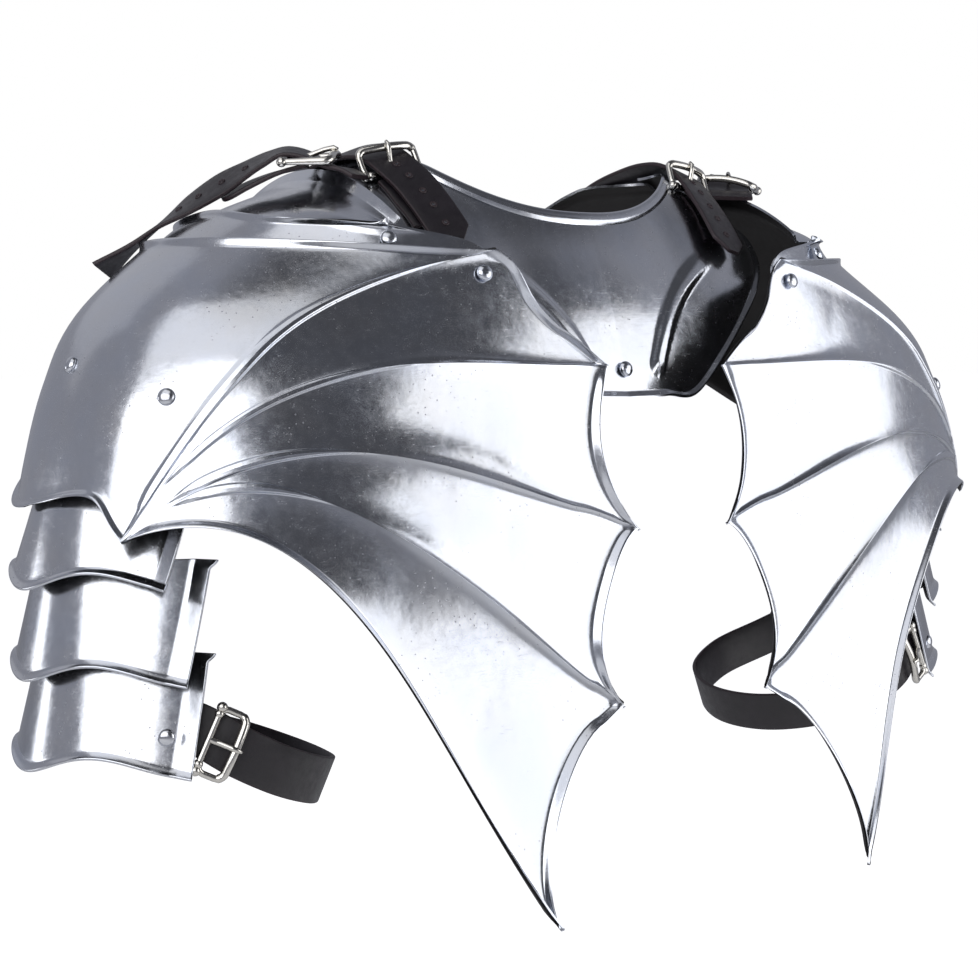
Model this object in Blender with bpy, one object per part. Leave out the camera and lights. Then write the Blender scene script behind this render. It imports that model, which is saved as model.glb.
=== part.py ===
"""Polished steel gorget with a pair of bat-wing pauldrons buckled to it, as worn.

Frame: +X is the wearer's left, +Y the wearer's back, +Z up. The origin is the middle of the neck
opening at the height where the plates sit on the shoulders. Lengths are millimetres until
put_mesh(), which turns them into metres.

Each pauldron is one nest of plates lying on a common shoulder surface. A point of that surface is
given by beta, the angle round the arm opening (0 straight back, 90 outermost, 180 straight
front), and level, which runs from 100 at the neck-side arch to -333 at the lowest wing tip.
"""

import bpy
import numpy as np

# ---------------------------------------------------------------- driving dimensions
WALL = 1.5                 # sheet steel
GAP = 0.3                  # between pieces that touch
LEATHER = 2.4              # strap thickness
STRAP_WIDTH = 25.0
FLANGE_WIDTH = 5.0         # turned-out edge of every plate
FLANGE_RISE = 2.6
RIB_HALF_WIDTH = 7.0       # raised wing ribs
RIB_RISE_ROOT = 2.6
RIB_RISE_TIP = 1.6
MEMBRANE_DIP = 4.0         # hollow of the wing between two ribs
RIVET_RADIUS = 4.3
RIVET_RISE = 2.8
BUCKLE_WIDTH = 36.0
BUCKLE_ROD = 1.7
LAME_2_INSET = 3.5         # upper lame 2 lies this far inside the wing plate that covers it
LAME_1_INSETS = (2.4, 3.2) # upper lame 1: under lame 2's ends, and more under its lower part

# Shoulder surface, one hoop per row.
# level, centre x, reach outward, middle y, half depth, z at the ends, z outermost
HOOPS = np.array([
    (-333.0, 66.0, 245.0, 32.0, 161.0, -360.0, -360.0),
    (-233.0, 66.0, 243.0, 37.0, 134.0, -260.0, -260.0),
    (-153.0, 66.0, 243.0, 40.0, 122.0, -180.0, -180.0),
    (-113.0, 66.0, 236.0, 38.5, 116.5, -140.0, -140.0),
    (-73.0, 66.0, 223.0, 35.0, 113.5, -100.0, -100.0),
    (-33.0, 66.0, 199.0, 28.0, 111.0, -60.0, -60.0),
    (0.0, 68.0, 156.0, 16.5, 115.5, -33.0, -28.0),
    (45.0, 138.0, 51.0, 17.0, 95.0, -21.0, -9.0),
    (100.0, 140.0, 0.0, 18.0, 86.0, -19.0, 10.5),
])
SQUARE_SIDE = 0.82         # powers that make the lower hoops squarer than an ellipse
SQUARE_BACK = 0.80
FAN_OUT = 0.184            # above the top edge, lines of one beta fan apart by this share
FAN_TO = 45.0
SQUARE_FROM = 60.0         # full squareness this far below the top edge

# Wing lines, each a cubic curve in (beta, level): four ribs, then the leading edge.
RAYS = (
    ((66.4, -144.7), (48.9, -68.6), (42.4, -19.8), (11.1, -0.9)),
    ((66.4, -144.7), (43.3, -50.6), (19.5, -60.3), (-4.3, -64.4)),
    ((66.4, -144.7), (40.7, -79.2), (12.4, -100.4), (-5.5, -148.1)),
    ((66.4, -144.7), (36.1, -72.6), (8.3, -169.3), (-2.2, -236.6)),
    ((66.4, -144.7), (27.1, -107.6), (21.1, -224.9), (6.5, -337.7)),
)
# Scalloped edge from each tip to the next.
SCALLOPS = (
    ((11.1, -0.9), (3.8, -25.0), (-2.2, -58.7), (-4.3, -64.4)),
    ((-4.3, -64.4), (-0.6, -95.8), (-2.4, -133.1), (-5.5, -148.1)),
    ((-5.5, -148.1), (-2.8, -147.2), (2.0, -207.7), (-2.2, -236.6)),
    ((-2.2, -236.6), (0.4, -238.8), (9.6, -308.5), (6.5, -337.7)),
)
CAP_EDGE = ((66.4, -144.7), (74.2, -126.9), (69.2, -116.2), (94.0, -132.3))
FRONT_EDGE = ((94.0, -132.3), (112.0, -138.0), (142.0, -95.0), (166.0, -7.0))

# Arm lames: z of the lower edge, z of the top edge, beta at the back (top, bottom), beta in front
ARM_CENTRE = (214.0, 35.0)
ARM_RADII = (102.0, 78.0)
ARM_LAMES = (
    (-192.0, -151.0, 26.0, 34.0, 150.0),
    (-236.5, -182.0, 20.0, 28.0, 154.0),
    (-280.5, -227.0, 21.0, 27.0, 154.0),
)
ARM_TOP_INSET = 16.0       # a lame's top edge lies this much inside its lower edge
ARM_WAVE = 5.0             # the lower edge is a shallow wave this high
ARM_BACK_FLANGE = 9.0      # wide flare down the back edge
ARM_BACK_RISE = 4.0

# Neckline: half width, half depth, middle y, z at the middle of the back and front, z at the side
NECK = (106.8, 76.0, 2.0, -10.2, 31.5)
NECK_FRONT_Z = -24.0
NECK_SAG = 13.5            # the neckline gives way by this much on top of the shoulders

STEEL = ("polished_steel", (0.62, 0.63, 0.65, 1.0), 0.16, 1.0)
NICKEL = ("nickel_plate", (0.75, 0.74, 0.72, 1.0), 0.12, 1.0)
HIDE = ("black_leather", (0.018, 0.014, 0.018, 1.0), 0.45, 0.0)


# ---------------------------------------------------------------- meshes
def material_of(spec):
    """The one Principled material of this name, colour, roughness and metallic value."""
    name, colour, roughness, metallic = spec
    found = bpy.data.materials.get(name)
    if found:
        return found
    made = bpy.data.materials.new(name)
    made.use_nodes = True
    shader = made.node_tree.nodes["Principled BSDF"]
    shader.inputs["Base Color"].default_value = colour
    shader.inputs["Roughness"].default_value = roughness
    shader.inputs["Metallic"].default_value = metallic
    made.diffuse_color = colour
    return made


def put_mesh(name, points, faces, spec, side=1, pivot=(0.0, 0.0, 0.0)):
    """One object. side -1 mirrors it to the wearer's right; pivot becomes its origin."""
    points = np.array(points, float) * (side, 1, 1)
    corners = [(f[0], f[i], f[i + 1]) for f in faces for i in range(1, len(f) - 1)]
    if np.linalg.det(points[np.array(corners)]).sum() < 0:
        faces = [tuple(reversed(f)) for f in faces]
    pivot = np.array(pivot, float) * (side, 1, 1)
    mesh = bpy.data.meshes.new(name)
    mesh.from_pydata(((points - pivot) * 0.001).tolist(), [], faces)
    mesh.validate()
    mesh.materials.append(material_of(spec))
    mesh.shade_smooth()
    mesh.set_sharp_from_angle(angle=0.7)
    made = bpy.data.objects.new(name, mesh)
    made.location = (pivot * 0.001).tolist()
    bpy.context.scene.collection.objects.link(made)
    return made


def grid_faces(rows, columns, start=0):
    """Quads of a rows x columns array of points."""
    return [
        (
            start + r * columns + c,
            start + r * columns + c + 1,
            start + (r + 1) * columns + c + 1,
            start + (r + 1) * columns + c,
        )
        for r in range(rows - 1)
        for c in range(columns - 1)
    ]


def welded(points, faces):
    """Points that coincide made one, and faces that collapse dropped or cut to triangles."""
    _, first, index = np.unique(
        np.round(points, 2), axis=0, return_index=True, return_inverse=True
    )
    index = index.reshape(-1)
    kept = []
    for face in faces:
        ring = [int(index[i]) for i in face]
        ring = [v for i, v in enumerate(ring) if v != ring[i - 1]]
        if len(set(ring)) == len(ring) and len(ring) > 2:
            kept.append(tuple(ring))
    return points[first], kept


def vertex_normals(points, faces):
    normals = np.zeros_like(points)
    for face in faces:
        ring = points[list(face)]
        normal = np.cross(ring[1] - ring[0], ring[2] - ring[0])
        if len(face) == 4:
            normal = normal + np.cross(ring[2] - ring[0], ring[3] - ring[0])
        normals[list(face)] += normal
    return normals / np.linalg.norm(normals, axis=1)[:, None]


def sheet_solid(patches, wall):
    """(points, faces) of a closed plate: the patches are its outer face, the wall goes inward."""
    points = []
    faces = []
    for patch in patches:
        rows, columns = patch.shape[:2]
        faces += grid_faces(rows, columns, sum(len(p) for p in points))
        points.append(patch.reshape(-1, 3))
    points, faces = welded(np.concatenate(points), faces)
    count = len(points)
    inner = points - vertex_normals(points, faces) * wall
    edges = {(f[i - 1], f[i]) for f in faces for i in range(len(f))}
    rim = [
        (b, a, a + count, b + count) for a, b in sorted(edges) if (b, a) not in edges
    ]
    back = [tuple(v + count for v in reversed(f)) for f in faces]
    return np.concatenate([points, inner]), faces + back + rim


# ---------------------------------------------------------------- curves and surfaces
def bezier(t, handles):
    t = np.asarray(t, float)[..., None]
    p = np.array(handles, float)
    s = 1 - t
    return s**3 * p[0] + 3 * s * s * t * p[1] + 3 * s * t * t * p[2] + t**3 * p[3]


def through(values, knots, rows):
    """Smooth interpolation of table rows at increasing knots."""
    step = np.diff(knots)
    slope = np.diff(rows, axis=0) / step[:, None]
    ends = np.empty_like(rows)
    ends[0] = slope[0]
    ends[-1] = slope[-1]
    weight = (step[1:] + step[:-1])[:, None]
    ends[1:-1] = (slope[:-1] * step[1:, None] + slope[1:] * step[:-1, None]) / weight
    i = np.clip(np.searchsorted(knots, values) - 1, 0, len(knots) - 2)
    width = step[i][..., None]
    t = (np.asarray(values, float) - knots[i])[..., None] / width
    return (
        rows[i] * (2 * t**3 - 3 * t**2 + 1)
        + ends[i] * width * (t**3 - 2 * t**2 + t)
        + rows[i + 1] * (3 * t**2 - 2 * t**3)
        + ends[i + 1] * width * (t**3 - t**2)
    )


def signed_power(value, power):
    return np.sign(value) * np.abs(value) ** power


def shoulder(beta, level):
    """Points of the shoulder surface."""
    beta, level = np.broadcast_arrays(np.asarray(beta, float), np.asarray(level, float))
    row = through(level, HOOPS[:, 0], HOOPS[:, 1:])
    centre, reach, middle, depth, z_end, z_out = np.moveaxis(row, -1, 0)
    square = np.clip(-level / SQUARE_FROM, 0, 1)
    square = square * square * (3 - 2 * square)
    fan = np.clip(level / FAN_TO, 0, 1)
    turn = np.radians(90.0 + (beta - 90.0) * (1 + FAN_OUT * fan * fan * (3 - 2 * fan)))
    s = np.sin(turn)
    c = np.cos(turn)
    x = centre + reach * signed_power(s, 1 + (SQUARE_SIDE - 1) * square)
    y = middle + depth * signed_power(c, 1 + (SQUARE_BACK - 1) * square)
    return np.stack([x, y, z_end + (z_out - z_end) * s * s], -1)


def shoulder_normal(beta, level):
    """Outward unit normals of the shoulder surface."""
    across = shoulder(beta + 0.5, level) - shoulder(beta - 0.5, level)
    up = shoulder(beta, level + 0.5) - shoulder(beta, level - 0.5)
    normal = np.cross(up, across)
    return normal / np.linalg.norm(normal, axis=-1)[..., None]


def lifted(beta, level, rise):
    """Points at a height above the shoulder surface."""
    return shoulder(beta, level) + shoulder_normal(beta, level) * np.asarray(rise)[..., None]


def spaced(length, count, lead, tail, crowd=1.0):
    """Fractions 0..1 of a line, with one step of lead at the start and of tail at the end (mm).
    crowd above 1 draws the steps between towards the end."""
    first = min(lead / length, 0.3)
    last = 1 - min(tail / length, 0.3)
    inner = 1 - (1 - np.linspace(0, 1, count)) ** crowd
    return np.concatenate([[0.0], first + (last - first) * inner, [1.0]])


def fold(distance, width=FLANGE_WIDTH):
    """1 on a turned-out edge or a rib line, falling to 0 at width from it."""
    return np.clip(1 - distance / width, 0, 1) ** 2


# ---------------------------------------------------------------- wing plate
def rib_rise(t):
    return RIB_RISE_ROOT + (RIB_RISE_TIP - RIB_RISE_ROOT) * t


def wing_point(w, t):
    """(beta, level) in the wing fan. w runs over the rays 0..4, t from the root to the edge."""
    k = min(int(w), len(SCALLOPS) - 1)
    f = w - k
    line = bezier(t, RAYS[k]) * (1 - f) + bezier(t, RAYS[k + 1]) * f
    chord = np.array(RAYS[k][3]) * (1 - f) + np.array(RAYS[k + 1][3]) * f
    return line + t**3 * (bezier(f, SCALLOPS[k]) - chord)


def wing_width(k, t):
    """Distance between ray k and the next at t."""
    a = bezier(t, RAYS[k])
    b = bezier(t, RAYS[k + 1])
    return np.linalg.norm(shoulder(*a) - shoulder(*b)) + 1e-6


def ray_steps(w, count):
    """t values along ray w: the last step is the flange."""
    near = wing_point(w, 0.95)
    end = wing_point(w, 1.0)
    speed = np.linalg.norm(shoulder(*end) - shoulder(*near)) / 0.05
    last = 1 - FLANGE_WIDTH / speed
    return np.concatenate([np.linspace(0, 1, count) ** 0.85 * last, [1.0]])


def fan_patch(per_web, count):
    """The wing from its root to the scalloped edge, as rows of points along the rays."""
    rows = []
    webs = len(SCALLOPS)
    for k in range(webs):
        for j in range(per_web + (k == webs - 1)):
            row = []
            for t in ray_steps(k + j / per_web, count):
                width = wing_width(k, t)
                tail = FLANGE_WIDTH if k == webs - 1 else RIB_HALF_WIDTH
                f = spaced(width, per_web - 1, RIB_HALF_WIDTH, tail)[j]
                beta, level = wing_point(k + f, t)
                web = -min(MEMBRANE_DIP, 0.07 * width) * 4 * f * (1 - f)
                near = rib_rise(t) * fold(f * width, RIB_HALF_WIDTH)
                far = rib_rise(t) * fold((1 - f) * width, RIB_HALF_WIDTH)
                if k == webs - 1:
                    far = FLANGE_RISE * fold((1 - f) * width)
                rise = web * min(1, 3 * (1 - t) + 0.4) + max(near, far)
                if t == 1.0:
                    rise = max(near, far) * 0.4 + FLANGE_RISE
                if t == 0.0:
                    rise = RIB_RISE_ROOT
                row.append(lifted(np.array(beta), np.array(level), np.array(rise)))
            rows.append(row)
    return np.array(rows)


def top_level(beta):
    """The top edge is level except for its last few degrees, down to the first wing tip."""
    return RAYS[0][3][1] * np.clip((16.0 - beta) / (16.0 - RAYS[0][3][0]), 0, 1)


def column(bottom, rise_bottom, width_bottom, count):
    """Points from a point of the lower edge or first rib straight up to the top edge."""
    beta, level = bottom
    top = top_level(beta)
    height = np.linalg.norm(shoulder(beta, level) - shoulder(beta, top)) + 1e-6
    points = []
    for s in spaced(height, count, RIB_HALF_WIDTH, FLANGE_WIDTH, 1.7):
        rise = rise_bottom * fold(s * height, width_bottom)
        rise = rise + FLANGE_RISE * fold((1 - s) * height)
        if height < FLANGE_WIDTH:
            rise = rise_bottom * 0.4 + FLANGE_RISE
        here = np.array(level + (top - level) * s)
        points.append(lifted(np.array(beta), here, np.array(rise)))
    return points


def wing_plate(side, tag):
    count = 7
    rows = 6
    fan = fan_patch(4, count)
    above = [
        column(bezier(t, RAYS[0]), rib_rise(t), RIB_HALF_WIDTH, rows)
        for t in ray_steps(0, count)
    ]
    cap = [
        column(bezier(t, CAP_EDGE), FLANGE_RISE, RIB_HALF_WIDTH, rows)
        for t in np.linspace(0, 1, 6)
    ]
    front = [
        column(bezier(t, FRONT_EDGE), FLANGE_RISE, RIB_HALF_WIDTH, rows)
        for t in np.linspace(0, 1, 7)
    ]
    for i in range(len(above)):
        above[i][0] = fan[0][i]
    above[0] = cap[0]
    patches = [fan[::-1], np.array(above)[::-1], np.array(cap + front[1:])]
    points, faces = sheet_solid(patches, WALL)
    return put_mesh(f"wing_plate_{tag}", points, faces, STEEL, side, WING_PIVOT)


# ---------------------------------------------------------------- upper lames
WING_PIVOT = (107.0, 0.0, -44.0)
LAME_PIVOT = (148.0, 0.0, -27.5)

# share of the way from the back end to the front end, level of the top edge
LAME_2_TOP = np.array([
    (0.0, 62.0), (0.06, 46.0), (0.16, 34.0), (0.3, 28.0), (0.5, 36.0), (0.7, 28.0), (0.84, 34.0),
    (0.94, 46.0), (1.0, 62.0),
])


def lame_patch(top, bottom, back, front, inset, columns, rows):
    """A lame lying on the shoulder surface. top is a function of the share along it; back and
    front are (beta at the top, beta at the bottom); inset is a function of level."""
    patch = []
    for i in np.linspace(0, 1, columns):
        height = top(i) - bottom
        column_points = []
        for s in spaced(height, rows, FLANGE_WIDTH, FLANGE_WIDTH):
            b0 = back[1] + (back[0] - back[1]) * s
            b1 = front[1] + (front[0] - front[1]) * s
            beta = b0 + (b1 - b0) * i
            level = bottom + height * s
            rise = FLANGE_RISE * fold((1 - s) * height) - inset(level)
            column_points.append(lifted(np.array(beta), np.array(level), np.array(rise)))
        patch.append(column_points)
    return np.array(patch)


def lame_1_inset(level):
    ends, lower = LAME_1_INSETS
    return ends * np.clip((100.0 - level) / 14.0, 0, 1) + lower * np.clip((60.0 - level) / 50.0, 0, 1)


def lame_2_inset(level):
    return LAME_2_INSET * np.clip((45.0 - level) / 45.0, 0, 1)


def upper_lame_1(side, tag):
    patch = lame_patch(
        lambda i: 100.0, 8.0, (22.0, 37.0), (158.0, 143.0),
        lame_1_inset, 17, 5,
    )
    points, faces = sheet_solid([patch], WALL)
    return put_mesh(f"upper_lame_1_{tag}", points, faces, STEEL, side)


def upper_lame_2(side, tag):
    patch = lame_patch(
        lambda i: np.interp(i, LAME_2_TOP[:, 0], LAME_2_TOP[:, 1]), -16.0,
        (19.5, 10.0), (160.5, 170.0),
        lame_2_inset, 21, 5,
    )
    points, faces = sheet_solid([patch], WALL)
    return put_mesh(f"upper_lame_2_{tag}", points, faces, STEEL, side, LAME_PIVOT)


# ---------------------------------------------------------------- arm lames
def arm_point(beta, z, outset):
    b = np.radians(beta)
    x = ARM_CENTRE[0] + (ARM_RADII[0] + outset) * np.sin(b)
    y = ARM_CENTRE[1] + (ARM_RADII[1] + outset) * np.cos(b)
    return np.array([x, y, z])


def arm_lame(index, side, tag):
    z_low, z_top, back_top, back_low, front = ARM_LAMES[index]
    patch = []
    columns = 15
    for i in range(columns):
        share = i / (columns - 1)
        if i == 1:
            share = ARM_BACK_FLANGE / 180.0
        points = []
        for s in (0.0, 0.1, 0.55, 1.0):
            beta = (back_low + (back_top - back_low) * s) * (1 - share) + front * share
            wave = ARM_WAVE * np.cos(np.radians((beta - 57.0) / 33.0 * 180.0))
            z = (z_low + wave) * (1 - s) + z_top * s
            outset = -4.0 - (ARM_TOP_INSET - 4.0) * s
            outset += FLANGE_RISE * (s == 0)
            outset += ARM_BACK_RISE * (i == 0)
            points.append(arm_point(beta, z, outset))
        patch.append(points)
    points, faces = sheet_solid([np.array(patch)], WALL)
    return put_mesh(f"arm_lame_{index + 1}_{tag}", points, faces, STEEL, side, WING_PIVOT)


# ---------------------------------------------------------------- gorget plates
# neckline angle, then x, y, z of the outer edge at the end of that column (back plate)
BACK_EDGE = (
    (0.0, 0.0, 118.0, -110.0),
    (17.0, 27.0, 118.5, -109.0),
    (33.0, 53.0, 117.0, -106.0),
    (42.0, 75.0, 112.0, -87.0),
    (50.0, 95.0, 105.0, -69.0),
    (58.0, 116.0, 94.0, -51.0),
    (67.0, 133.0, 78.0, -33.0),
    (76.0, 144.0, 54.0, -16.0),
    (84.0, 149.0, 28.0, -7.0),
    (90.0, 150.0, 2.0, -5.0),
)
FRONT_PLATE_EDGE = (
    (0.0, 0.0, -112.0, -128.0),
    (17.0, 29.0, -111.0, -124.0),
    (33.0, 57.0, -106.0, -108.0),
    (45.0, 84.0, -96.0, -84.0),
    (56.0, 110.0, -80.0, -55.0),
    (68.0, 132.0, -58.0, -30.0),
    (80.0, 146.0, -28.0, -12.0),
    (90.0, 150.0, 4.0, -8.0),
    (96.0, 150.0, 18.0, -9.0),
)


def neckline(angle, front):
    half_width, half_depth, middle, z_back, z_side = NECK
    a = np.radians(angle)
    z_end = NECK_FRONT_Z if front else z_back
    lift = np.abs(np.sin(a)) ** 2.4
    over = np.clip((angle - 50.0) / 40.0, 0.0, 1.0)
    sag = NECK_SAG * over * over * (3 - 2 * over)
    y = half_depth * np.cos(a) * (-1 if front else 1)
    return np.array([half_width * np.sin(a), middle + y, z_end + (z_side - z_end) * lift - sag])


def gorget_column(start, end, drop, rim):
    """A curved line from the neckline to the outer edge: rolled rim, body, flange."""
    out = np.array([end[0] - start[0], end[1] - start[1], 0.0])
    down = np.array([0.0, 0.0, end[2] - start[2]])
    handles = (start, start + 0.35 * out + 0.15 * down, end - 0.15 * out - 0.4 * down, end)
    length = np.linalg.norm(end - start)
    shares = spaced(length, 4, 4.0, FLANGE_WIDTH)
    line = bezier(shares, handles)
    side = np.array([out[0], out[1], 0.0]) / np.linalg.norm(out)
    line[0] += rim * np.array([0.0, 0.0, 1.0])
    line[-1] += FLANGE_RISE * (side * 0.7 + np.array([0.0, 0.0, 0.5]))
    line[:, 2] -= drop
    return line


def gorget_plate(name, table, front):
    half = []
    for row in table:
        start = neckline(row[0], front)
        drop = 3.0 * np.clip((row[0] - 60.0) / 15.0, 0, 1) if front else 0.0
        half.append(gorget_column(start, np.array(row[1:]), drop, 2.5))
    half = np.array(half)
    other = half[:0:-1] * (-1, 1, 1)
    patch = np.concatenate([other, half])
    if not front:
        patch = patch[::-1]
    points, faces = sheet_solid([patch], WALL)
    return put_mesh(name, points, faces, STEEL)


# ---------------------------------------------------------------- leather
def smooth_path(knots, steps):
    """Evenly spaced rows along a smooth line through table rows (x, y, z, lean)."""
    knots = np.array(knots, float)
    run = np.concatenate([[0], np.cumsum(np.linalg.norm(np.diff(knots[:, :3], axis=0), axis=1))])
    return through(np.linspace(0, run[-1], steps), run, knots)


def ribbon(name, knots, outward, width, steps, side, tip=0.0, pivot=(0.0, 0.0, 0.0), thick=LEATHER):
    """A strap along a path. outward(point) is the way its outer face looks, before the lean in
    degrees given in the path's last column. tip is the length of a pointed end."""
    path = smooth_path(knots, steps)
    rings = []
    centre = path[:, :3]
    tangents = np.gradient(centre, axis=0)
    for i, point in enumerate(centre):
        along = tangents[i] / np.linalg.norm(tangents[i])
        face = outward(point)
        face = face - along * face.dot(along)
        face = face / np.linalg.norm(face)
        across = np.cross(along, face)
        lean = np.radians(path[i, 3])
        face, across = (
            face * np.cos(lean) + across * np.sin(lean),
            across * np.cos(lean) - face * np.sin(lean),
        )
        half = width / 2
        if tip and i == len(centre) - 1:
            half = width * 0.16
        rings.append([
            point + across * half, point - across * half,
            point - across * half - face * thick, point + across * half - face * thick,
        ])
    points = np.array(rings).reshape(-1, 3)
    faces = []
    for r in range(steps - 1):
        for c in range(4):
            a = r * 4 + c
            b = r * 4 + (c + 1) % 4
            faces.append((a, b, b + 4, a + 4))
    faces.append((3, 2, 1, 0))
    last = (steps - 1) * 4
    faces.append((last, last + 1, last + 2, last + 3))
    return put_mesh(name, points, faces, HIDE, side, pivot)


def from_point(x, y, z):
    """The outward direction of a strap lying round a point."""
    return lambda point: point - np.array([x, y, z])


# x, y, z, lean: outer face of each strap along its middle
NECK_STRAP = (
    (104.0, -66.0, -14.0, 0.0), (108.0, -42.0, 9.5, 0.0), (110.0, -4.0, 22.5, 0.0),
    (109.0, 18.0, 25.0, 0.0), (108.0, 34.0, 24.0, 0.0), (107.4, 44.5, 20.6, 0.0),
    (105.5, 54.0, 14.6, 0.0), (103.0, 66.0, 5.6, 0.0), (101.2, 77.0, -4.6, 0.0),
    (98.0, 97.0, -26.5, 0.0),
)
NECK_TAB = (
    (107.8, 53.8, 8.6, 0.0), (107.3, 60.0, 4.0, 0.0), (106.5, 68.0, -3.2, 0.0),
    (105.5, 76.0, -9.8, 0.0), (104.5, 82.0, -16.2, 0.0),
)
PAULDRON_STRAP = (
    (132.0, 58.5, 8.0, 0.0), (136.5, 52.6, 11.8, 0.0), (141.5, 45.5, 13.4, 0.0),
    (147.0, 39.8, 17.4, -4.0), (153.0, 34.0, 20.8, -8.0), (159.5, 27.8, 21.8, -12.0),
    (167.0, 20.0, 17.8, -20.0), (177.0, 9.0, 10.0, -28.0), (186.5, 0.0, 2.6, -32.0),
    (196.7, -11.0, -6.2, -26.0), (206.0, -21.0, -15.0, -12.0), (217.0, -31.0, -26.2, -2.0),
    (231.0, -41.5, -40.0, 20.0),
)
PAULDRON_TAB = (
    (150.0, 35.0, 14.4, 0.0), (160.0, 27.0, 11.6, -4.0), (173.0, 16.5, 5.2, -12.0),
    (185.0, 6.0, -2.8, -18.0),
)


def arm_strap_path():
    """From inside the lowest arm lame, out at its back edge, round the inner arm and in again."""
    start = [arm_point(b, z, inset) for b, z, inset in (
        (44.0, -254.0, -12.0), (34.0, -258.0, -12.0), (24.0, -264.0, -10.5))]
    middle = [
        (236.0, 105.5, -274.5), (214.0, 106.0, -286.0), (182.0, 92.0, -298.0),
        (158.0, 62.0, -304.0), (153.0, 25.0, -303.0), (168.0, -8.0, -296.0),
        (200.0, -26.0, -286.0),
    ]
    end = [arm_point(b, z, inset) for b, z, inset in (
        (160.0, -274.0, -12.0), (146.0, -266.0, -12.0), (132.0, -260.0, -12.0))]
    return [(*p, 0.0) for p in start + middle + end]


def arm_leather_path(cap_beta, cap_level, beta):
    """From under a cap rivet down the inside of the arm lames."""
    cap = [
        lifted(np.array(cap_beta), np.array(cap_level), np.array(-5.0)),
        lifted(np.array(cap_beta), np.array(cap_level - 26.0), np.array(-15.0)),
    ]
    arm = [arm_point(beta, z, inset) for z, inset in (
        (-146.0, -28.0), (-190.0, -26.0), (-232.0, -25.0), (-270.0, -25.0))]
    return [(*p, 0.0) for p in cap + arm]


# ---------------------------------------------------------------- buckles and rivets
def buckle(name, heel, front, face, side, pivot=(0.0, 0.0, 0.0)):
    """A rectangular wire frame: its bar end (heel) passes under the strap and has thick corners,
    and its bowed front end lies over the strap."""
    heel = np.array(heel, float)
    front = np.array(front, float)
    length = np.linalg.norm(front - heel)
    along = (front - heel) / length
    centre = (front + heel) / 2
    face = np.array(face, float)
    face = face - along * face.dot(along)
    face = face / np.linalg.norm(face)
    across = np.cross(along, face)
    half_w = BUCKLE_WIDTH / 2 - BUCKLE_ROD
    half_l = length / 2
    cut = 3.0
    corners = (
        (half_l - cut, half_w), (half_l, half_w - cut), (half_l, 0.0), (half_l, cut - half_w),
        (half_l - cut, -half_w), (cut - half_l, -half_w), (-half_l, cut - half_w), (-half_l, 0.0),
        (-half_l, half_w - cut), (cut - half_l, half_w),
    )
    sections = 6
    points = []
    for l, w in corners:
        radial = along * l / half_l + across * w / half_w
        radial = radial / np.linalg.norm(radial)
        thick = BUCKLE_ROD * (1.5 if l < 0 and abs(w) > 1 and l > cut - half_l - 0.1 else 1.0)
        bow = 2.0 * (1 - (w / half_w) ** 2) * (l > 0)
        middle = centre + along * l + across * w + face * bow
        for k in range(sections):
            a = 2 * np.pi * k / sections
            points.append(middle + thick * (radial * np.cos(a) + face * np.sin(a)))
    faces = []
    ring = len(corners)
    for r in range(ring):
        for k in range(sections):
            a = r * sections + k
            b = r * sections + (k + 1) % sections
            c = ((r + 1) % ring) * sections
            faces.append((a, b, c + (k + 1) % sections, c + k))
    return put_mesh(name, points, faces, NICKEL, side, pivot)


def rivet(name, base, normal, side, pivot=(0.0, 0.0, 0.0), radius=RIVET_RADIUS):
    """A domed head standing just clear of the plate at base."""
    normal = np.array(normal, float) / np.linalg.norm(normal)
    other = np.cross(normal, (0.0, 0.0, 1.0))
    other = other / np.linalg.norm(other)
    third = np.cross(normal, other)
    base = np.array(base, float) + normal * GAP
    turns = 8
    points = [base]
    for share, rise in ((1.0, 0.0), (0.92, 0.45), (0.55, 0.86)):
        for k in range(turns):
            a = 2 * np.pi * k / turns
            spread = radius * share * (other * np.cos(a) + third * np.sin(a))
            points.append(base + spread + normal * RIVET_RISE * rise)
    points.append(base + normal * RIVET_RISE)
    faces = []
    for k in range(turns):
        n = (k + 1) % turns
        faces.append((0, 1 + n, 1 + k))
        for r in range(2):
            a = 1 + r * turns
            faces.append((a + k, a + n, a + turns + n, a + turns + k))
        faces.append((1 + 2 * turns + k, 1 + 2 * turns + n, 1 + 3 * turns))
    return put_mesh(name, points, faces, STEEL, side, pivot)


def shell_rivet(name, beta, level, under, side, pivot=(0.0, 0.0, 0.0)):
    """A rivet on the shoulder surface, under millimetres inside it."""
    beta = np.array(beta)
    level = np.array(level)
    return rivet(name, lifted(beta, level, np.array(-under)), shoulder_normal(beta, level), side, pivot)


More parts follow.
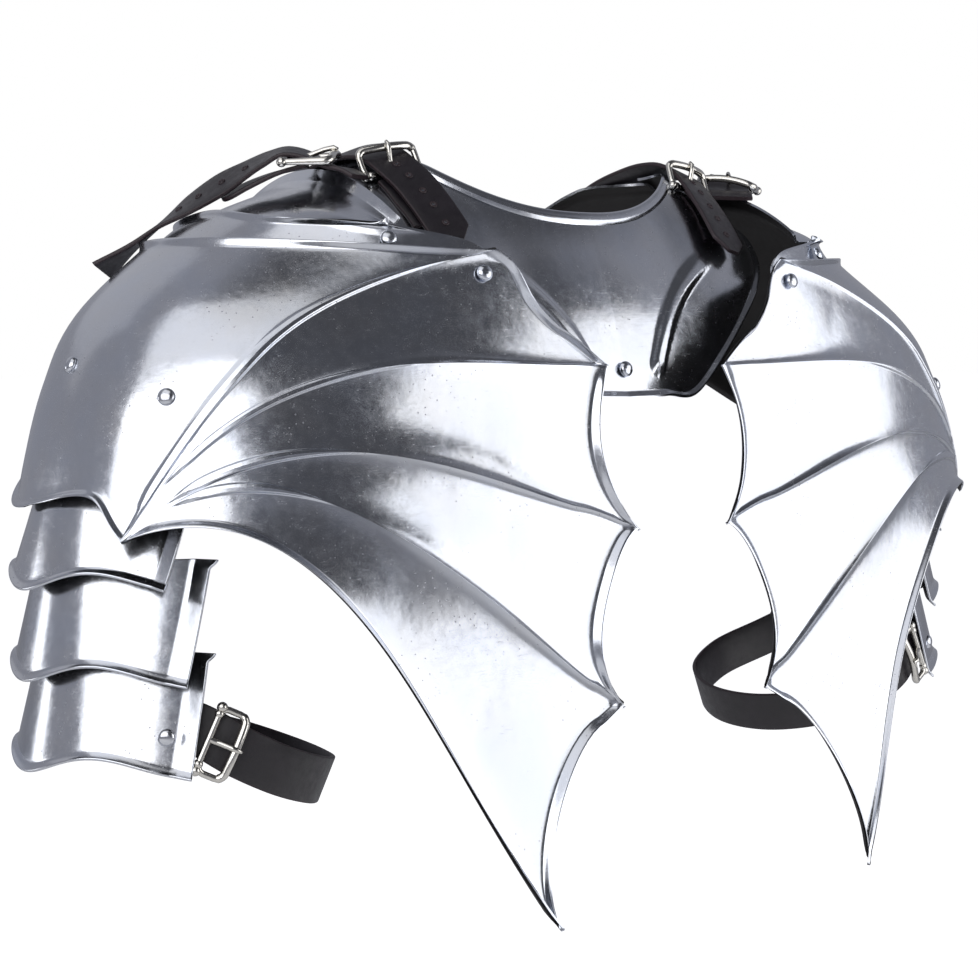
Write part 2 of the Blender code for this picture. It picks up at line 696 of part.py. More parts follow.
# ---------------------------------------------------------------- the object
def build():
    for old in list(bpy.data.objects):
        bpy.data.objects.remove(old, do_unlink=True)
    gorget_plate("gorget_back", BACK_EDGE, False)
    gorget_plate("gorget_front", FRONT_PLATE_EDGE, True)
    rivet("gorget_rivet", (0.0, 115.8, -93.0), (0.0, 1.0, 0.2), 1)
    for tag, side in (("L", 1), ("R", -1)):
        upper_lame_1(side, tag)
        upper_lame_2(side, tag)
        wing_plate(side, tag)
        for index in range(3):
            arm_lame(index, side, tag)
        over_neck = from_point(86.0, 0.0, -45.0)
        ribbon(f"neck_strap_{tag}", NECK_STRAP, over_neck, STRAP_WIDTH, 16, side, 9.0)
        ribbon(f"neck_tab_{tag}", NECK_TAB, over_neck, STRAP_WIDTH - 5, 6, side)
        up = from_point(150.0, 20.0, -300.0)
        ribbon(f"pauldron_strap_{tag}", PAULDRON_STRAP, up, STRAP_WIDTH, 16, side)
        ribbon(f"pauldron_tab_{tag}", PAULDRON_TAB, up, 18.0, 5, side)
        round_arm = from_point(210.0, 38.0, -280.0)
        ribbon(f"arm_strap_{tag}", arm_strap_path(), round_arm, STRAP_WIDTH, 24, side,
               pivot=WING_PIVOT)
        in_arm = from_point(214.0, 35.0, -180.0)
        ribbon(f"arm_leather_1_{tag}", arm_leather_path(61.4, -77.3, 48.0), in_arm, 20.0, 9, side,
               pivot=WING_PIVOT)
        ribbon(f"arm_leather_2_{tag}", arm_leather_path(90.3, -62.8, 104.0), in_arm, 20.0, 9, side,
               pivot=WING_PIVOT)
        buckle(f"neck_buckle_{tag}", (106.2, 50.3, 10.6), (107.4, 44.0, 23.8), (0.2, 0.86, 0.44), side)
        buckle(f"pauldron_buckle_{tag}", (159.1, 29.0, 16.3), (139.8, 45.5, 17.0), (0.0, 0.2, 1.0),
               side)
        buckle(f"arm_buckle_{tag}", (250.0, 103.6, -267.5), (238.0, 107.0, -273.5), (0.1, 1.0, 0.0),
               side, WING_PIVOT)
        for front, place in ((False, "back"), (True, "front")):
            turn = (lambda b: 180.0 - b) if front else (lambda b: b)
            shell_rivet(f"wing_pivot_{place}_{tag}", turn(13.4), -15.4, 0.0, side, WING_PIVOT)
            lame_level = 11.0 if front else 8.5
            shell_rivet(f"lame_pivot_{place}_{tag}", turn(33.0), lame_level, 0.8, side, LAME_PIVOT)
        shell_rivet(f"cap_rivet_1_{tag}", 61.4, -77.3, 0.0, side, WING_PIVOT)
        shell_rivet(f"cap_rivet_2_{tag}", 90.3, -62.8, 0.0, side, WING_PIVOT)
        rivet(f"arm_rivet_{tag}", arm_point(34.0, -266.0, -5.2), (0.5, 0.85, 0.0), side, WING_PIVOT)


build()
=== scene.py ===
import math

import bpy
import numpy as np
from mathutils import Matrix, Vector


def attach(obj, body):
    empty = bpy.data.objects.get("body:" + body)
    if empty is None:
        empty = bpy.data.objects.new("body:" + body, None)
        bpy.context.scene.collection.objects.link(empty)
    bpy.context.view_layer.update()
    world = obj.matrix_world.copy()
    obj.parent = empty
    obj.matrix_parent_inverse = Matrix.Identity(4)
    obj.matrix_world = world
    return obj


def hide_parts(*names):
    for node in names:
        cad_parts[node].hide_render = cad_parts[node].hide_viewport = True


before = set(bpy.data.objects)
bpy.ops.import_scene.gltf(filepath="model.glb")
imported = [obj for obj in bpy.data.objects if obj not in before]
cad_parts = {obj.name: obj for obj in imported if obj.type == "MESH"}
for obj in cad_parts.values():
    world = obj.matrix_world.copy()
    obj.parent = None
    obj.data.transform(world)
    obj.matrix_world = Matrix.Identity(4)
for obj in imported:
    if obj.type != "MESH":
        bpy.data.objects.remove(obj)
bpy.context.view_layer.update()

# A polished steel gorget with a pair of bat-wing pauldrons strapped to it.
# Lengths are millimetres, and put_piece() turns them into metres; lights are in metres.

MM = 0.001

# ------------ sizes
BOTH = {"_L": 1, "_R": -1}  # name endings, and the sign of x: the right is mirrored
MIDDLE = {"": 1}
WALL = 1.5  # steel sheet
EDGE_ROUNDING = 0.45  # of its cut edges
SHARP = math.radians(50)  # a bend sharper than this is an edge
LEATHER = 2.4  # strap leather
STRAP_CORNER = 0.8
STRAP_WIDTH = 25.0
HOLE_RADIUS = 1.5  # to the middle of the rim pressed up round a buckle hole
HOLE_RIM = 0.7  # that rim's own radius
HOLE_STEPS = 18  # points round it
HOLE_FLOOR = 0.04  # the steel that shows in a hole lies this much over the leather's face
POINT_END = 0.34  # half width left at a pointed strap's end, as a share
FLANGE_WIDTH = 5.0  # turned-out edge of every plate
SCALLOP_FLANGES = (3.8, 6.2, 6.0, 5.2)  # width on each scalloped edge
FLANGE_RISE = 3.0
FLANGE_CLEARS = 0.6  # of a rib's height is gone on the flange
LIP_SHARE = 0.3  # of the flange, rolled over at the very edge
LIP_DROP = 0.12  # of the flange's rise
TIP_REACH = 6.0  # the turned-out edges meet in a small facet this near each wing tip
TIP_WIDENING = 4.5  # and are this much wider there
TIP_FROM = 16.0  # beta where the top edge begins to fall to the first wing tip
RIB_HALF_WIDTH = 7.0  # swell of the wing along each rib, towards the tips
RIB_RISE = 0.8  # reached at the tips
RIB_CREST = 0.7  # rounding of the swell's crest
BEAD_HALF_WIDTH = 2.4  # flat-topped bead along each rib
BEAD_RISE = 1.4
BEAD_SIDE = 1.0  # width of a bead's sloping side
BEAD_POINT = 0.07  # share of the rib over which a bead widens from its first point
BEADS = ((0.02, 0.9), (0.11, 0.68), (0.115, 0.55), (0.11, 0.42))  # where each starts and ends
MEMBRANE_DIP = 4.0  # hollow of the wing between two ribs
DIP_SHARE = 0.07  # of the distance between them, where that is less
RIVET_RADIUS = 4.3
RIVET_RISE = 2.9
# Rivet head, hammered a little flat: share of the radius, share of the rise
DOME = ((0.96, 0.0), (1.0, 0.12), (0.97, 0.34), (0.86, 0.6), (0.68, 0.8), (0.44, 0.94), (0.2, 0.99))
CAP_RIVETS = ((61.4, -77.3), (90.3, -62.8))  # beta and level; the arm lames hang from them
BUCKLE_WIDTH = 36.0
BUCKLE_ROD = 1.7
BUCKLE_CORNER = 4.0
BUCKLE_BOW = 2.4  # of the front bar, off the leather
FRONT_BAR = 1.3  # its thickness, as a share of the rod's
BUCKLE_BEADS = ((0.0, 2.7), (3.4, 2.4))  # inset from the heel bar's ends, radius
# Prong from heel to tip: share of the half length, further reach, height, radius
PRONG = (
    (-1.0, 0.0, 0.0, 1.7), (-0.5, 0.0, 0.4, 1.6), (0.0, 0.0, 2.0, 1.5),
    (0.6, 0.0, 4.6, 1.4), (1.0, 0.0, 5.6, 1.3), (1.0, 2.2, 4.6, 0.9),
)

# ------------ mesh steps
RAY_STEPS = 84  # from a web's root to its flange
LIP_STEPS = 8  # over the flange
RIB_SHARE = 0.2  # of a web beside each rib, in fine steps
RIB_STEPS = 26
WEB_STEPS = 17  # over the rest of a web
PLATE_STEPS = 26  # up the plate above the first rib and in front of it
CAP_STEPS = 34  # along each of its lower edges there
EDGE_STEPS = 14  # over a plate's turned edge

# ------------ lines and tables
# Shoulder surface, one hoop per row.
# level, centre x, reach outward, middle y, half depth, z at the ends, z outermost
HOOPS = np.array([
    (-333.0, 66.0, 245.0, 32.0, 161.0, -360.0, -360.0),
    (-233.0, 66.0, 243.0, 37.0, 134.0, -260.0, -260.0),
    (-153.0, 66.0, 243.0, 40.0, 122.0, -180.0, -180.0),
    (-113.0, 66.0, 236.0, 38.5, 116.5, -140.0, -140.0),
    (-73.0, 66.0, 223.0, 35.0, 113.5, -100.0, -100.0),
    (-33.0, 66.0, 199.0, 28.0, 111.0, -60.0, -60.0),
    (0.0, 68.0, 156.0, 16.5, 115.5, -33.0, -28.0),
    (45.0, 138.0, 51.0, 17.0, 95.0, -21.0, -9.0),
    (100.0, 140.0, 0.0, 18.0, 86.0, -19.0, 10.5),
])
SQUARE_SIDE = 0.82  # roundness of the hoops: 1 is an ellipse, and less is squarer
SQUARE_BACK = 0.80
SQUARE_BELOW = 60.0  # reached this far below level 0
FAN_OUT = 0.184  # the upper lames spread by this share of their angle
FAN_TO = 45.0  # reached at this level

# Wing lines, each a cubic curve in (beta, level): four ribs, then the leading edge.
ROOT = (66.4, -144.7)
RAYS = (
    (ROOT, (48.9, -68.6), (42.4, -19.8), (11.1, -0.9)),
    (ROOT, (43.3, -50.6), (19.5, -60.3), (-4.3, -64.4)),
    (ROOT, (40.7, -79.2), (12.4, -100.4), (-5.5, -148.1)),
    (ROOT, (36.1, -72.6), (8.3, -169.3), (-2.2, -236.6)),
    (ROOT, (27.1, -107.6), (21.1, -224.9), (6.5, -337.7)),
)
# Handles of the scalloped edge from each tip to the next.
SCALLOPS = (
    ((3.8, -25.0), (-2.2, -58.7)), ((-0.6, -95.8), (-2.4, -133.1)),
    ((-2.8, -147.2), (2.0, -207.7)), ((0.4, -238.8), (9.6, -308.5)),
)
CAP_EDGE = (ROOT, (74.2, -126.9), (69.2, -116.2), (94.0, -132.3))
FRONT_EDGE = ((94.0, -132.3), (112.0, -138.0), (142.0, -95.0), (166.0, -7.0))

# Upper lames: beta at the top and bottom of the back end and of the front end
LAME_1_ENDS = ((22.0, 37.0), (158.0, 143.0))
LAME_2_ENDS = ((19.5, 10.0), (160.5, 170.0))
LAME_1_LEVELS = (8.0, 100.0)  # of the lower and upper edge
LAME_2_BOTTOM = -16.0
# where each goes down to make room: from this level, over this height, by this much
LAME_1_INSETS = ((100.0, 14.0, 2.4), (60.0, 50.0, 3.2))
LAME_2_INSETS = ((45.0, 45.0, 3.5),)
NECK_EDGE = (7.0, 2.6)  # width and rise of upper lame 1's turned-up edge
LAME_EDGE = 8.0  # fine rows over this much of a lame's lower and upper edge
# share along upper lame 2, level of its top edge there
LAME_2_TOP = np.array([
    (0.0, 62.0), (0.06, 46.0), (0.16, 34.0), (0.3, 28.0), (0.5, 36.0),
    (0.7, 28.0), (0.84, 34.0), (0.94, 46.0), (1.0, 62.0),
])

# Arm lames: z of the lower edge, z of the top edge, beta at the back (top, bottom), beta in front
ARM_CENTRE = (214.0, 35.0)
ARM_RADII = (102.0, 78.0)
ARM_LAMES = (
    (-192.0, -151.0, 26.0, 34.0, 150.0),
    (-236.5, -182.0, 20.0, 28.0, 154.0),
    (-280.5, -227.0, 21.0, 27.0, 154.0),
)
ARM_INSETS = (4.0, 16.0)  # of the lower and top edge
ARM_WAVE = 5.0  # the lower edge rises and falls by this much
ARM_WAVE_CREST = 57.0  # beta of a crest
ARM_WAVE_FALL = 33.0  # degrees from a crest to the next trough
ARM_FLARE = 6.5  # the upright edges stand out by this much
ARM_FLARE_SHARE = 0.036  # over this share of the lame's width
ARM_FLARE_TURN = 2.0  # and the top corner reaches this many degrees further
ARM_CORNER_SHARE = 0.08  # over this share of the lame's height
ARM_LIP = 2.6  # the lower edges are turned out by this much
ARM_LIP_SHARE = 0.08

# Neckline: half width, half depth, middle y, z at the middle of the back and front, z at the side
NECK = (106.8, 76.0, 2.0, -10.2, 31.5)
NECK_FRONT_Z = -24.0
NECK_SAG = 13.5  # the neckline gives way by this much on top of the shoulders
NECK_SAG_FROM = 50.0  # starting at this neckline angle
NECK_LIFT = 2.4  # how late the neckline climbs on its way to the side
COLLAR_RISE = 3.0  # the plates turn up along the neckline
COLLAR_WIDTH = 9.0
# neckline angle, then x, y, z of the outer edge at the end of that column
BACK_EDGE = np.array([
    (0.0, 0.0, 118.0, -110.0), (17.0, 27.0, 118.5, -109.0),
    (33.0, 53.0, 117.0, -106.0), (42.0, 75.0, 112.0, -87.0),
    (50.0, 95.0, 105.0, -69.0), (58.0, 116.0, 94.0, -51.0),
    (67.0, 133.0, 78.0, -33.0), (76.0, 144.0, 54.0, -16.0),
    (84.0, 149.0, 28.0, -7.0), (90.0, 150.0, 2.0, -5.0),
])
FRONT_PLATE_EDGE = np.array([
    (0.0, 0.0, -112.0, -128.0), (17.0, 29.0, -111.0, -124.0),
    (33.0, 57.0, -106.0, -108.0), (45.0, 84.0, -96.0, -84.0),
    (56.0, 110.0, -80.0, -55.0), (68.0, 132.0, -58.0, -30.0),
    (80.0, 146.0, -28.0, -12.0), (90.0, 150.0, 4.0, -8.0),
    (96.0, 150.0, 18.0, -9.0),
])

CRESCENT = ((27.0, -98.0), (46.0, -49.0), (101.0, -29.0))  # across, z of its outer line
CRESCENT_WIDTH = 11.5
CRESCENT_RISE = 2.3
CRESCENT_SLOPE = 5.0  # width of its gentle inner side
CRESCENT_DROP = 2.4  # and of its steep outer one
CRESCENT_ENDS = (0.05, 0.4)  # shares of its length over which it rises and runs out
ROLL_WIDTH = 8.5  # half-round roll along the neckline
ROLL_RISE = 2.1
GORGET_SWEEP = (0.35, 0.15, 0.15, 0.4)  # shares outward and down that shape its profile
GORGET_LIP = (0.7, 0.5)  # shares of the flange's rise, outward and up
FRONT_DROP = (3.0, 60.0, 15.0)  # the front plate slips under the back one: by, from, over
GORGET_EDGE = 7.0  # fine rows over this much of the plates' inner and outer edge
CLOSE_TURN = 52.0  # columns are closest up to this neckline angle

# Straps: x, y, z along the middle, and the lean of the outer face where it has one
NECK_STRAP = (
    (104.0, -66.0, -14.0), (108.0, -42.0, 9.5), (110.0, -4.0, 22.5),
    (109.0, 18.0, 25.0), (108.0, 34.0, 24.0), (107.4, 44.5, 20.6),
    (105.5, 54.0, 14.6), (103.0, 66.0, 5.6), (101.2, 77.0, -4.6),
    (98.0, 97.0, -26.5),
)
NECK_TAB = (
    (107.8, 53.8, 8.6), (107.3, 60.0, 4.0), (106.5, 68.0, -3.2),
    (105.5, 76.0, -9.8), (104.5, 82.0, -16.2),
)
PAULDRON_STRAP = (
    (132.0, 58.5, 8.0), (136.5, 52.6, 11.8), (141.5, 45.5, 13.4),
    (147.0, 39.8, 17.4, -4.0), (153.0, 34.0, 20.8, -8.0), (159.5, 27.8, 21.8, -12.0),
    (167.0, 20.0, 17.8, -20.0), (177.0, 9.0, 10.0, -28.0), (186.5, 0.0, 2.6, -32.0),
    (196.7, -11.0, -6.2, -26.0), (206.0, -21.0, -15.0, -12.0), (217.0, -31.0, -26.2, -2.0),
    (231.0, -41.5, -40.0, 20.0),
)
PAULDRON_TAB = (
    (150.0, 35.0, 14.4), (160.0, 27.0, 11.6, -4.0), (173.0, 16.5, 5.2, -12.0),
    (185.0, 6.0, -2.8, -18.0),
)


# ------------ camera
def put(name, data):
    made = bpy.data.objects.new(name, data)
    bpy.context.scene.collection.objects.link(made)
    return made


def put_aimed(name, data, place, look):
    """A camera or light at a place in metres, looking along a direction."""
    made = put(name, data)
    made.location = place
    made.rotation_mode = "QUATERNION"
    made.rotation_quaternion = look.to_track_quat("-Z", "Y")
    return made


def set_camera():
    """Behind the wearer's left shoulder, at its height."""
    data = bpy.data.cameras.new("view")
    data.lens = 77.4
    turn = math.radians(37.0)
    down = math.radians(3.92)
    look = Vector((
        -math.sin(turn) * math.cos(down), -math.cos(turn) * math.cos(down), -math.sin(down)))
    place = Vector((740.5, 976.5, -80.0)) * MM
    bpy.context.scene.camera = put_aimed("view", data, place, look)


set_camera()


# ------------ materials
def linear(code):
    """Linear colour of an sRGB hex value."""
    values = [int(code[i:i + 2], 16) / 255 for i in (1, 3, 5)]
    return (*(v / 12.92 if v <= 0.04045 else ((v + 0.055) / 1.055) ** 2.4 for v in values), 1.0)


def fill(tree, made, inputs):
    """Gives a node's inputs, by name or index, their values or another node's output socket."""
    for key, value in inputs.items():
        socket = made.inputs[key]
        if isinstance(value, bpy.types.NodeSocket):
            tree.links.new(value, socket)
        else:
            socket.default_value = value


def node(tree, kind, inputs=None, **settings):
    """A shader node with its settings and inputs."""
    made = tree.nodes.new(kind)
    for key, value in settings.items():
        setattr(made, key, value)
    fill(tree, made, inputs or {})
    return made


def new_material(name):
    """A material, its tree, its shader, and the place on the piece that its patterns follow."""
    made = bpy.data.materials.new(name)
    made.use_nodes = True
    tree = made.node_tree
    place = node(tree, "ShaderNodeTexCoord").outputs["Object"]
    return made, tree, tree.nodes["Principled BSDF"], place


def per_metre(millimetres):
    """Texture scale whose pattern repeats about once in this many millimetres."""
    return 1.0 / (millimetres * MM)


def polished_steel():
    """Mild steel sheet, hammered to shape and polished by hand on a wheel: a clear reflection
    with soft edges, hairline scratches, cloudy hand marks and small dull pits."""
    made, tree, shader, place = new_material("hand_polished_mild_steel")
    clouds = node(tree, "ShaderNodeTexNoise", {
        "Vector": place, "Scale": per_metre(38.0), "Detail": 4.0, "Roughness": 0.6})
    smear = node(tree, "ShaderNodeTexNoise", {
        "Vector": place, "Scale": per_metre(6.0), "Detail": 5.0, "Roughness": 0.7})
    # hairlines about 1 mm apart, drawn coarser than the real ones so that they show
    strokes = {}
    for number, (turn, stretch, spacing) in enumerate((
            ((0.3, 0.5, 0.9), (0.06, 1.0, 1.0), 0.9), ((1.1, -0.4, 0.2), (1.0, 0.05, 1.0), 1.1))):
        drawn = node(tree, "ShaderNodeMapping", {
            "Vector": place, "Rotation": turn, "Scale": stretch})
        strokes[number] = node(tree, "ShaderNodeTexNoise", {
            "Vector": drawn.outputs[0], "Scale": per_metre(spacing), "Detail": 3.0}).outputs["Fac"]
    hairs = node(tree, "ShaderNodeMath", strokes, operation="MAXIMUM")
    # pits 0.5 to 1 mm wide, scattered in patches
    cells = node(tree, "ShaderNodeTexVoronoi", {"Vector": place, "Scale": per_metre(3.2)})
    pit = node(tree, "ShaderNodeMapRange", {
        "Value": cells.outputs["Distance"], "From Min": 0.08, "From Max": 0.16,
        "To Min": 1.0, "To Max": 0.0})
    patch = node(tree, "ShaderNodeMapRange", {
        "Value": clouds.outputs["Fac"], "From Min": 0.48, "From Max": 0.6})
    pits = node(tree, "ShaderNodeMath", {0: pit.outputs[0], 1: patch.outputs[0]},
                operation="MULTIPLY")
    tint = node(tree, "ShaderNodeMix", {
        0: clouds.outputs["Fac"], 6: linear("#CAD1DF"), 7: linear("#D2D1D1")}, data_type="RGBA")
    colour = node(tree, "ShaderNodeMix", {
        0: pits.outputs[0], 6: tint.outputs[2], 7: linear("#A4A6AE")}, data_type="RGBA")
    rough_1 = node(tree, "ShaderNodeMapRange", {
        "Value": smear.outputs["Fac"], "From Min": 0.3, "From Max": 0.75,
        "To Min": 0.13, "To Max": 0.25})
    rough_2 = node(tree, "ShaderNodeMapRange", {
        "Value": hairs.outputs[0], "From Min": 0.6, "From Max": 0.8,
        "To Min": 0.0, "To Max": 0.12})
    worn = node(tree, "ShaderNodeMath", {0: rough_1.outputs[0], 1: rough_2.outputs[0]},
                operation="ADD")
    rough = node(tree, "ShaderNodeMath", {0: pits.outputs[0], 1: 0.25, 2: worn.outputs[0]},
                 operation="MULTIPLY_ADD")
    height = node(tree, "ShaderNodeMath", {
        0: pits.outputs[0], 1: -2.0, 2: hairs.outputs[0]}, operation="MULTIPLY_ADD")
    bump = node(tree, "ShaderNodeBump", {
        "Strength": 0.1, "Distance": 0.00012, "Height": height.outputs[0]})
    hammer = node(tree, "ShaderNodeBump", {
        "Strength": 0.25, "Distance": 0.0011, "Height": clouds.outputs["Fac"],
        "Normal": bump.outputs[0]})
    fill(tree, shader, {
        "Metallic": 1.0, "Base Color": colour.outputs[2], "Roughness": rough.outputs[0],
        "Normal": hammer.outputs[0]})
    return made


def waxed_leather():
    """Vegetable-tanned strap leather, dyed black and waxed: a soft purple-grey sheen over fine
    grain, with paler rubbed patches."""
    made, tree, shader, place = new_material("waxed_black_strap_leather")
    grain = node(tree, "ShaderNodeTexVoronoi", {
        "Vector": place, "Scale": per_metre(1.1)}, feature="DISTANCE_TO_EDGE")
    creases = node(tree, "ShaderNodeTexNoise", {
        "Vector": place, "Scale": per_metre(5.0), "Detail": 6.0, "Roughness": 0.7})
    rubbed = node(tree, "ShaderNodeTexNoise", {
        "Vector": place, "Scale": per_metre(16.0), "Detail": 3.0})
    colour = node(tree, "ShaderNodeMix", {
        0: rubbed.outputs["Fac"], 6: linear("#0D0B0F"), 7: linear("#231D24")}, data_type="RGBA")
    rough = node(tree, "ShaderNodeMapRange", {
        "Value": creases.outputs["Fac"], "From Min": 0.3, "From Max": 0.7,
        "To Min": 0.34, "To Max": 0.56})
    height = node(tree, "ShaderNodeMath", {
        0: grain.outputs["Distance"], 1: 0.5, 2: creases.outputs["Fac"]},
        operation="MULTIPLY_ADD")
    bump = node(tree, "ShaderNodeBump", {
        "Strength": 0.35, "Distance": 0.0003, "Height": height.outputs[0]})
    fill(tree, shader, {
        "Coat Weight": 0.15, "Coat Roughness": 0.3, "Base Color": colour.outputs[2],
        "Roughness": rough.outputs[0], "Normal": bump.outputs[0]})
    return made


def mottled(name, spots, colours, roughness, relief, metallic=0.0):
    """A finish that follows one pattern: spots is its size in mm, detail and roughness, and
    relief the bump's strength and its height in metres."""
    made, tree, shader, place = new_material(name)
    size, detail, grain = spots
    pattern = node(tree, "ShaderNodeTexNoise", {
        "Vector": place, "Scale": per_metre(size), "Detail": detail, "Roughness": grain}).outputs["Fac"]
    low, high = colours
    colour = node(tree, "ShaderNodeMix", {
        0: pattern, 6: linear(low), 7: linear(high)}, data_type="RGBA")
    if isinstance(roughness, tuple):
        low, high = roughness
        roughness = node(tree, "ShaderNodeMapRange", {
            "Value": pattern, "To Min": low, "To Max": high}).outputs[0]
    strength, depth = relief
    bump = node(tree, "ShaderNodeBump", {
        "Strength": strength, "Distance": depth, "Height": pattern})
    fill(tree, shader, {
        "Metallic": metallic, "Base Color": colour.outputs[2], "Roughness": roughness,
        "Normal": bump.outputs[0]})
    return made


STEEL = polished_steel()
HIDE = waxed_leather()
# The inside of the plates: steel coloured near black, dull and mottled.
BLACK = mottled("near_black_inner_steel", (14.0, 6.0, 0.65), ("#0B0A0C", "#1E1B1B"),
                (0.4, 0.7), (0.3, 0.0002), 0.2)
# The strap's cut edge: fibres dyed and burnished, a little redder than the face.
HIDE_EDGE = mottled("burnished_leather_edge", (0.8, 4.0, 0.5), ("#160F13", "#33232A"),
                    0.5, (0.5, 0.0002))
# Nickel plate on cast brass buckles: a warm bright mirror, with small casting dimples.
NICKEL = mottled("bright_nickel_plate", (2.5, 3.0, 0.5), ("#DAD8D2", "#C9C5BE"),
                 (0.05, 0.2), (0.3, 0.0003), 1.0)


# ------------ meshes
def put_piece(name, cad, points, faces, materials, index, sides=BOTH, bevel=0.0):
    """One piece a side, in place of the CAD node named; index gives each face's material."""
    for tag, side in sides.items():
        mesh = bpy.data.meshes.new(name + tag)
        placed = np.array(points, float) * (side, 1, 1) * MM
        mesh.from_pydata(placed.tolist(), [], [f[::side] for f in faces])
        for material in materials:
            mesh.materials.append(material)
        mesh.polygons.foreach_set("material_index", np.full(len(faces), index, np.int32))
        mesh.shade_smooth()
        mesh.set_sharp_from_angle(angle=SHARP)
        mesh.update()
        piece = put(name + tag, mesh)
        if bevel:
            edge = piece.modifiers.new("edge", "BEVEL")
            edge.width = bevel * MM
            edge.segments = 2
            edge.limit_method = "ANGLE"
            edge.angle_limit = SHARP
        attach(piece, "root")
        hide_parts(cad + tag)


def grid_faces(rows, columns):
    r, c = np.meshgrid(np.arange(rows - 1), np.arange(columns - 1), indexing="ij")
    a = (r * columns + c).reshape(-1)
    return np.stack([a, a + 1, a + columns + 1, a + columns], -1)


def ring_faces(rings, turns, closed=False):
    """Quads between rings of points, and from the last ring to the first if closed."""
    faces = []
    for r in range(rings if closed else rings - 1):
        low = r * turns
        high = (r + 1) % rings * turns
        for k in range(turns):
            n = (k + 1) % turns
            faces.append((low + n, low + k, high + k, high + n))
    return faces


def joined(parts):
    """Several (points, faces) as one."""
    points = []
    faces = []
    start = 0
    for p, f in parts:
        points.append(p)
        faces += [tuple(v + start for v in face) for face in f]
        start += len(p)
    return np.concatenate(points), faces


def welded(points, faces):
    """Points that coincide made one, and faces that collapse dropped or cut to triangles."""
    _, first, index = np.unique(
        np.round(points, 2), axis=0, return_index=True, return_inverse=True)
    kept = []
    for ring in index.reshape(-1)[np.array(faces)].tolist():
        ring = [v for i, v in enumerate(ring) if v != ring[i - 1]]
        if len(set(ring)) == len(ring) and len(ring) > 2:
            kept.append(tuple(ring))
    return points[first], kept


def unit(vectors):
    return vectors / np.linalg.norm(vectors, axis=-1)[..., None]


def square_to(along, vectors):
    """The vectors turned square to a line, with length 1."""
    return unit(vectors - along * (vectors * along).sum(-1)[..., None])


def vertex_normals(points, faces):
    quads = np.array([f if len(f) == 4 else (*f, f[2]) for f in faces])
    p = points[quads]
    face = np.cross(p[:, 2] - p[:, 0], p[:, 3] - p[:, 1])
    normals = np.zeros_like(points)
    for k in range(4):
        np.add.at(normals, quads[:, k], face)
    return unit(normals)


def plate(name, cad, patches, sides=BOTH):
    """A steel plate: the patches are its outer face, and its near-black side faces inward."""
    points, faces = welded(*joined([
        (p.reshape(-1, 3), grid_faces(*p.shape[:2]).tolist()) for p in patches]))
    count = len(points)
    inner = points - vertex_normals(points, faces) * WALL
    edges = {(f[i - 1], f[i]) for f in faces for i in range(len(f))}
    rim = [(b, a, a + count, b + count) for a, b in sorted(edges) if (b, a) not in edges]
    back = [tuple(v + count for v in reversed(f)) for f in faces]
    index = [0] * len(faces) + [1] * len(back) + [0] * len(rim)
    put_piece(name, cad, np.concatenate([points, inner]), faces + back + rim,
              (STEEL, BLACK), index, sides, EDGE_ROUNDING)


# ------------ curves and surfaces
def bezier(t, handles):
    t = np.asarray(t, float)[..., None]
    p = np.array(handles, float)
    s = 1 - t
    return s**3 * p[0] + 3 * s * s * t * p[1] + 3 * s * t * t * p[2] + t**3 * p[3]


def through(values, knots, rows):
    """Smooth interpolation of table rows at increasing knots."""
    step = np.diff(knots)
    slope = np.diff(rows, axis=0) / step[:, None]
    ends = np.empty_like(rows)
    ends[0] = slope[0]
    ends[-1] = slope[-1]
    weight = (step[1:] + step[:-1])[:, None]
    ends[1:-1] = (slope[:-1] * step[1:, None] + slope[1:] * step[:-1, None]) / weight
    i = np.clip(np.searchsorted(knots, values) - 1, 0, len(knots) - 2)
    width = step[i][..., None]
    t = (np.asarray(values, float) - knots[i])[..., None] / width
    return (
        rows[i] * (2 * t**3 - 3 * t**2 + 1)
        + ends[i] * width * (t**3 - 2 * t**2 + t)
        + rows[i + 1] * (3 * t**2 - 2 * t**3)
        + ends[i + 1] * width * (t**3 - t**2)
    )


def smooth(value):
    value = np.clip(value, 0, 1)
    return value * value * (3 - 2 * value)


def signed_power(value, power):
    return np.sign(value) * np.abs(value) ** power


def shoulder(beta, level):
    """Points of the surface that both the wing plate and the upper lames lie on."""
    beta, level = np.broadcast_arrays(beta, level)
    row = through(level, HOOPS[:, 0], HOOPS[:, 1:])
    centre, reach, middle, depth, z_end, z_out = np.moveaxis(row, -1, 0)
    square = smooth(-level / SQUARE_BELOW)
    turn = np.radians(90.0 + (beta - 90.0) * (1 + FAN_OUT * smooth(level / FAN_TO)))
    s = np.sin(turn)
    c = np.cos(turn)
    x = centre + reach * signed_power(s, 1 + (SQUARE_SIDE - 1) * square)
    y = middle + depth * signed_power(c, 1 + (SQUARE_BACK - 1) * square)
    return np.stack([x, y, z_end + (z_out - z_end) * s * s], -1)


def apart(a, b):
    """How far one (beta, level) spot of the shoulder surface is from another."""
    return np.linalg.norm(
        shoulder(a[..., 0], a[..., 1]) - shoulder(b[..., 0], b[..., 1]), axis=-1)


def shoulder_normal(beta, level):
    across = shoulder(beta + 0.5, level) - shoulder(beta - 0.5, level)
    up = shoulder(beta, level + 0.5) - shoulder(beta, level - 0.5)
    return unit(np.cross(up, across))


def lifted(beta, level, rise):
    beta, level, rise = np.broadcast_arrays(beta, level, rise)
    return shoulder(beta, level) + shoulder_normal(beta, level) * rise[..., None]


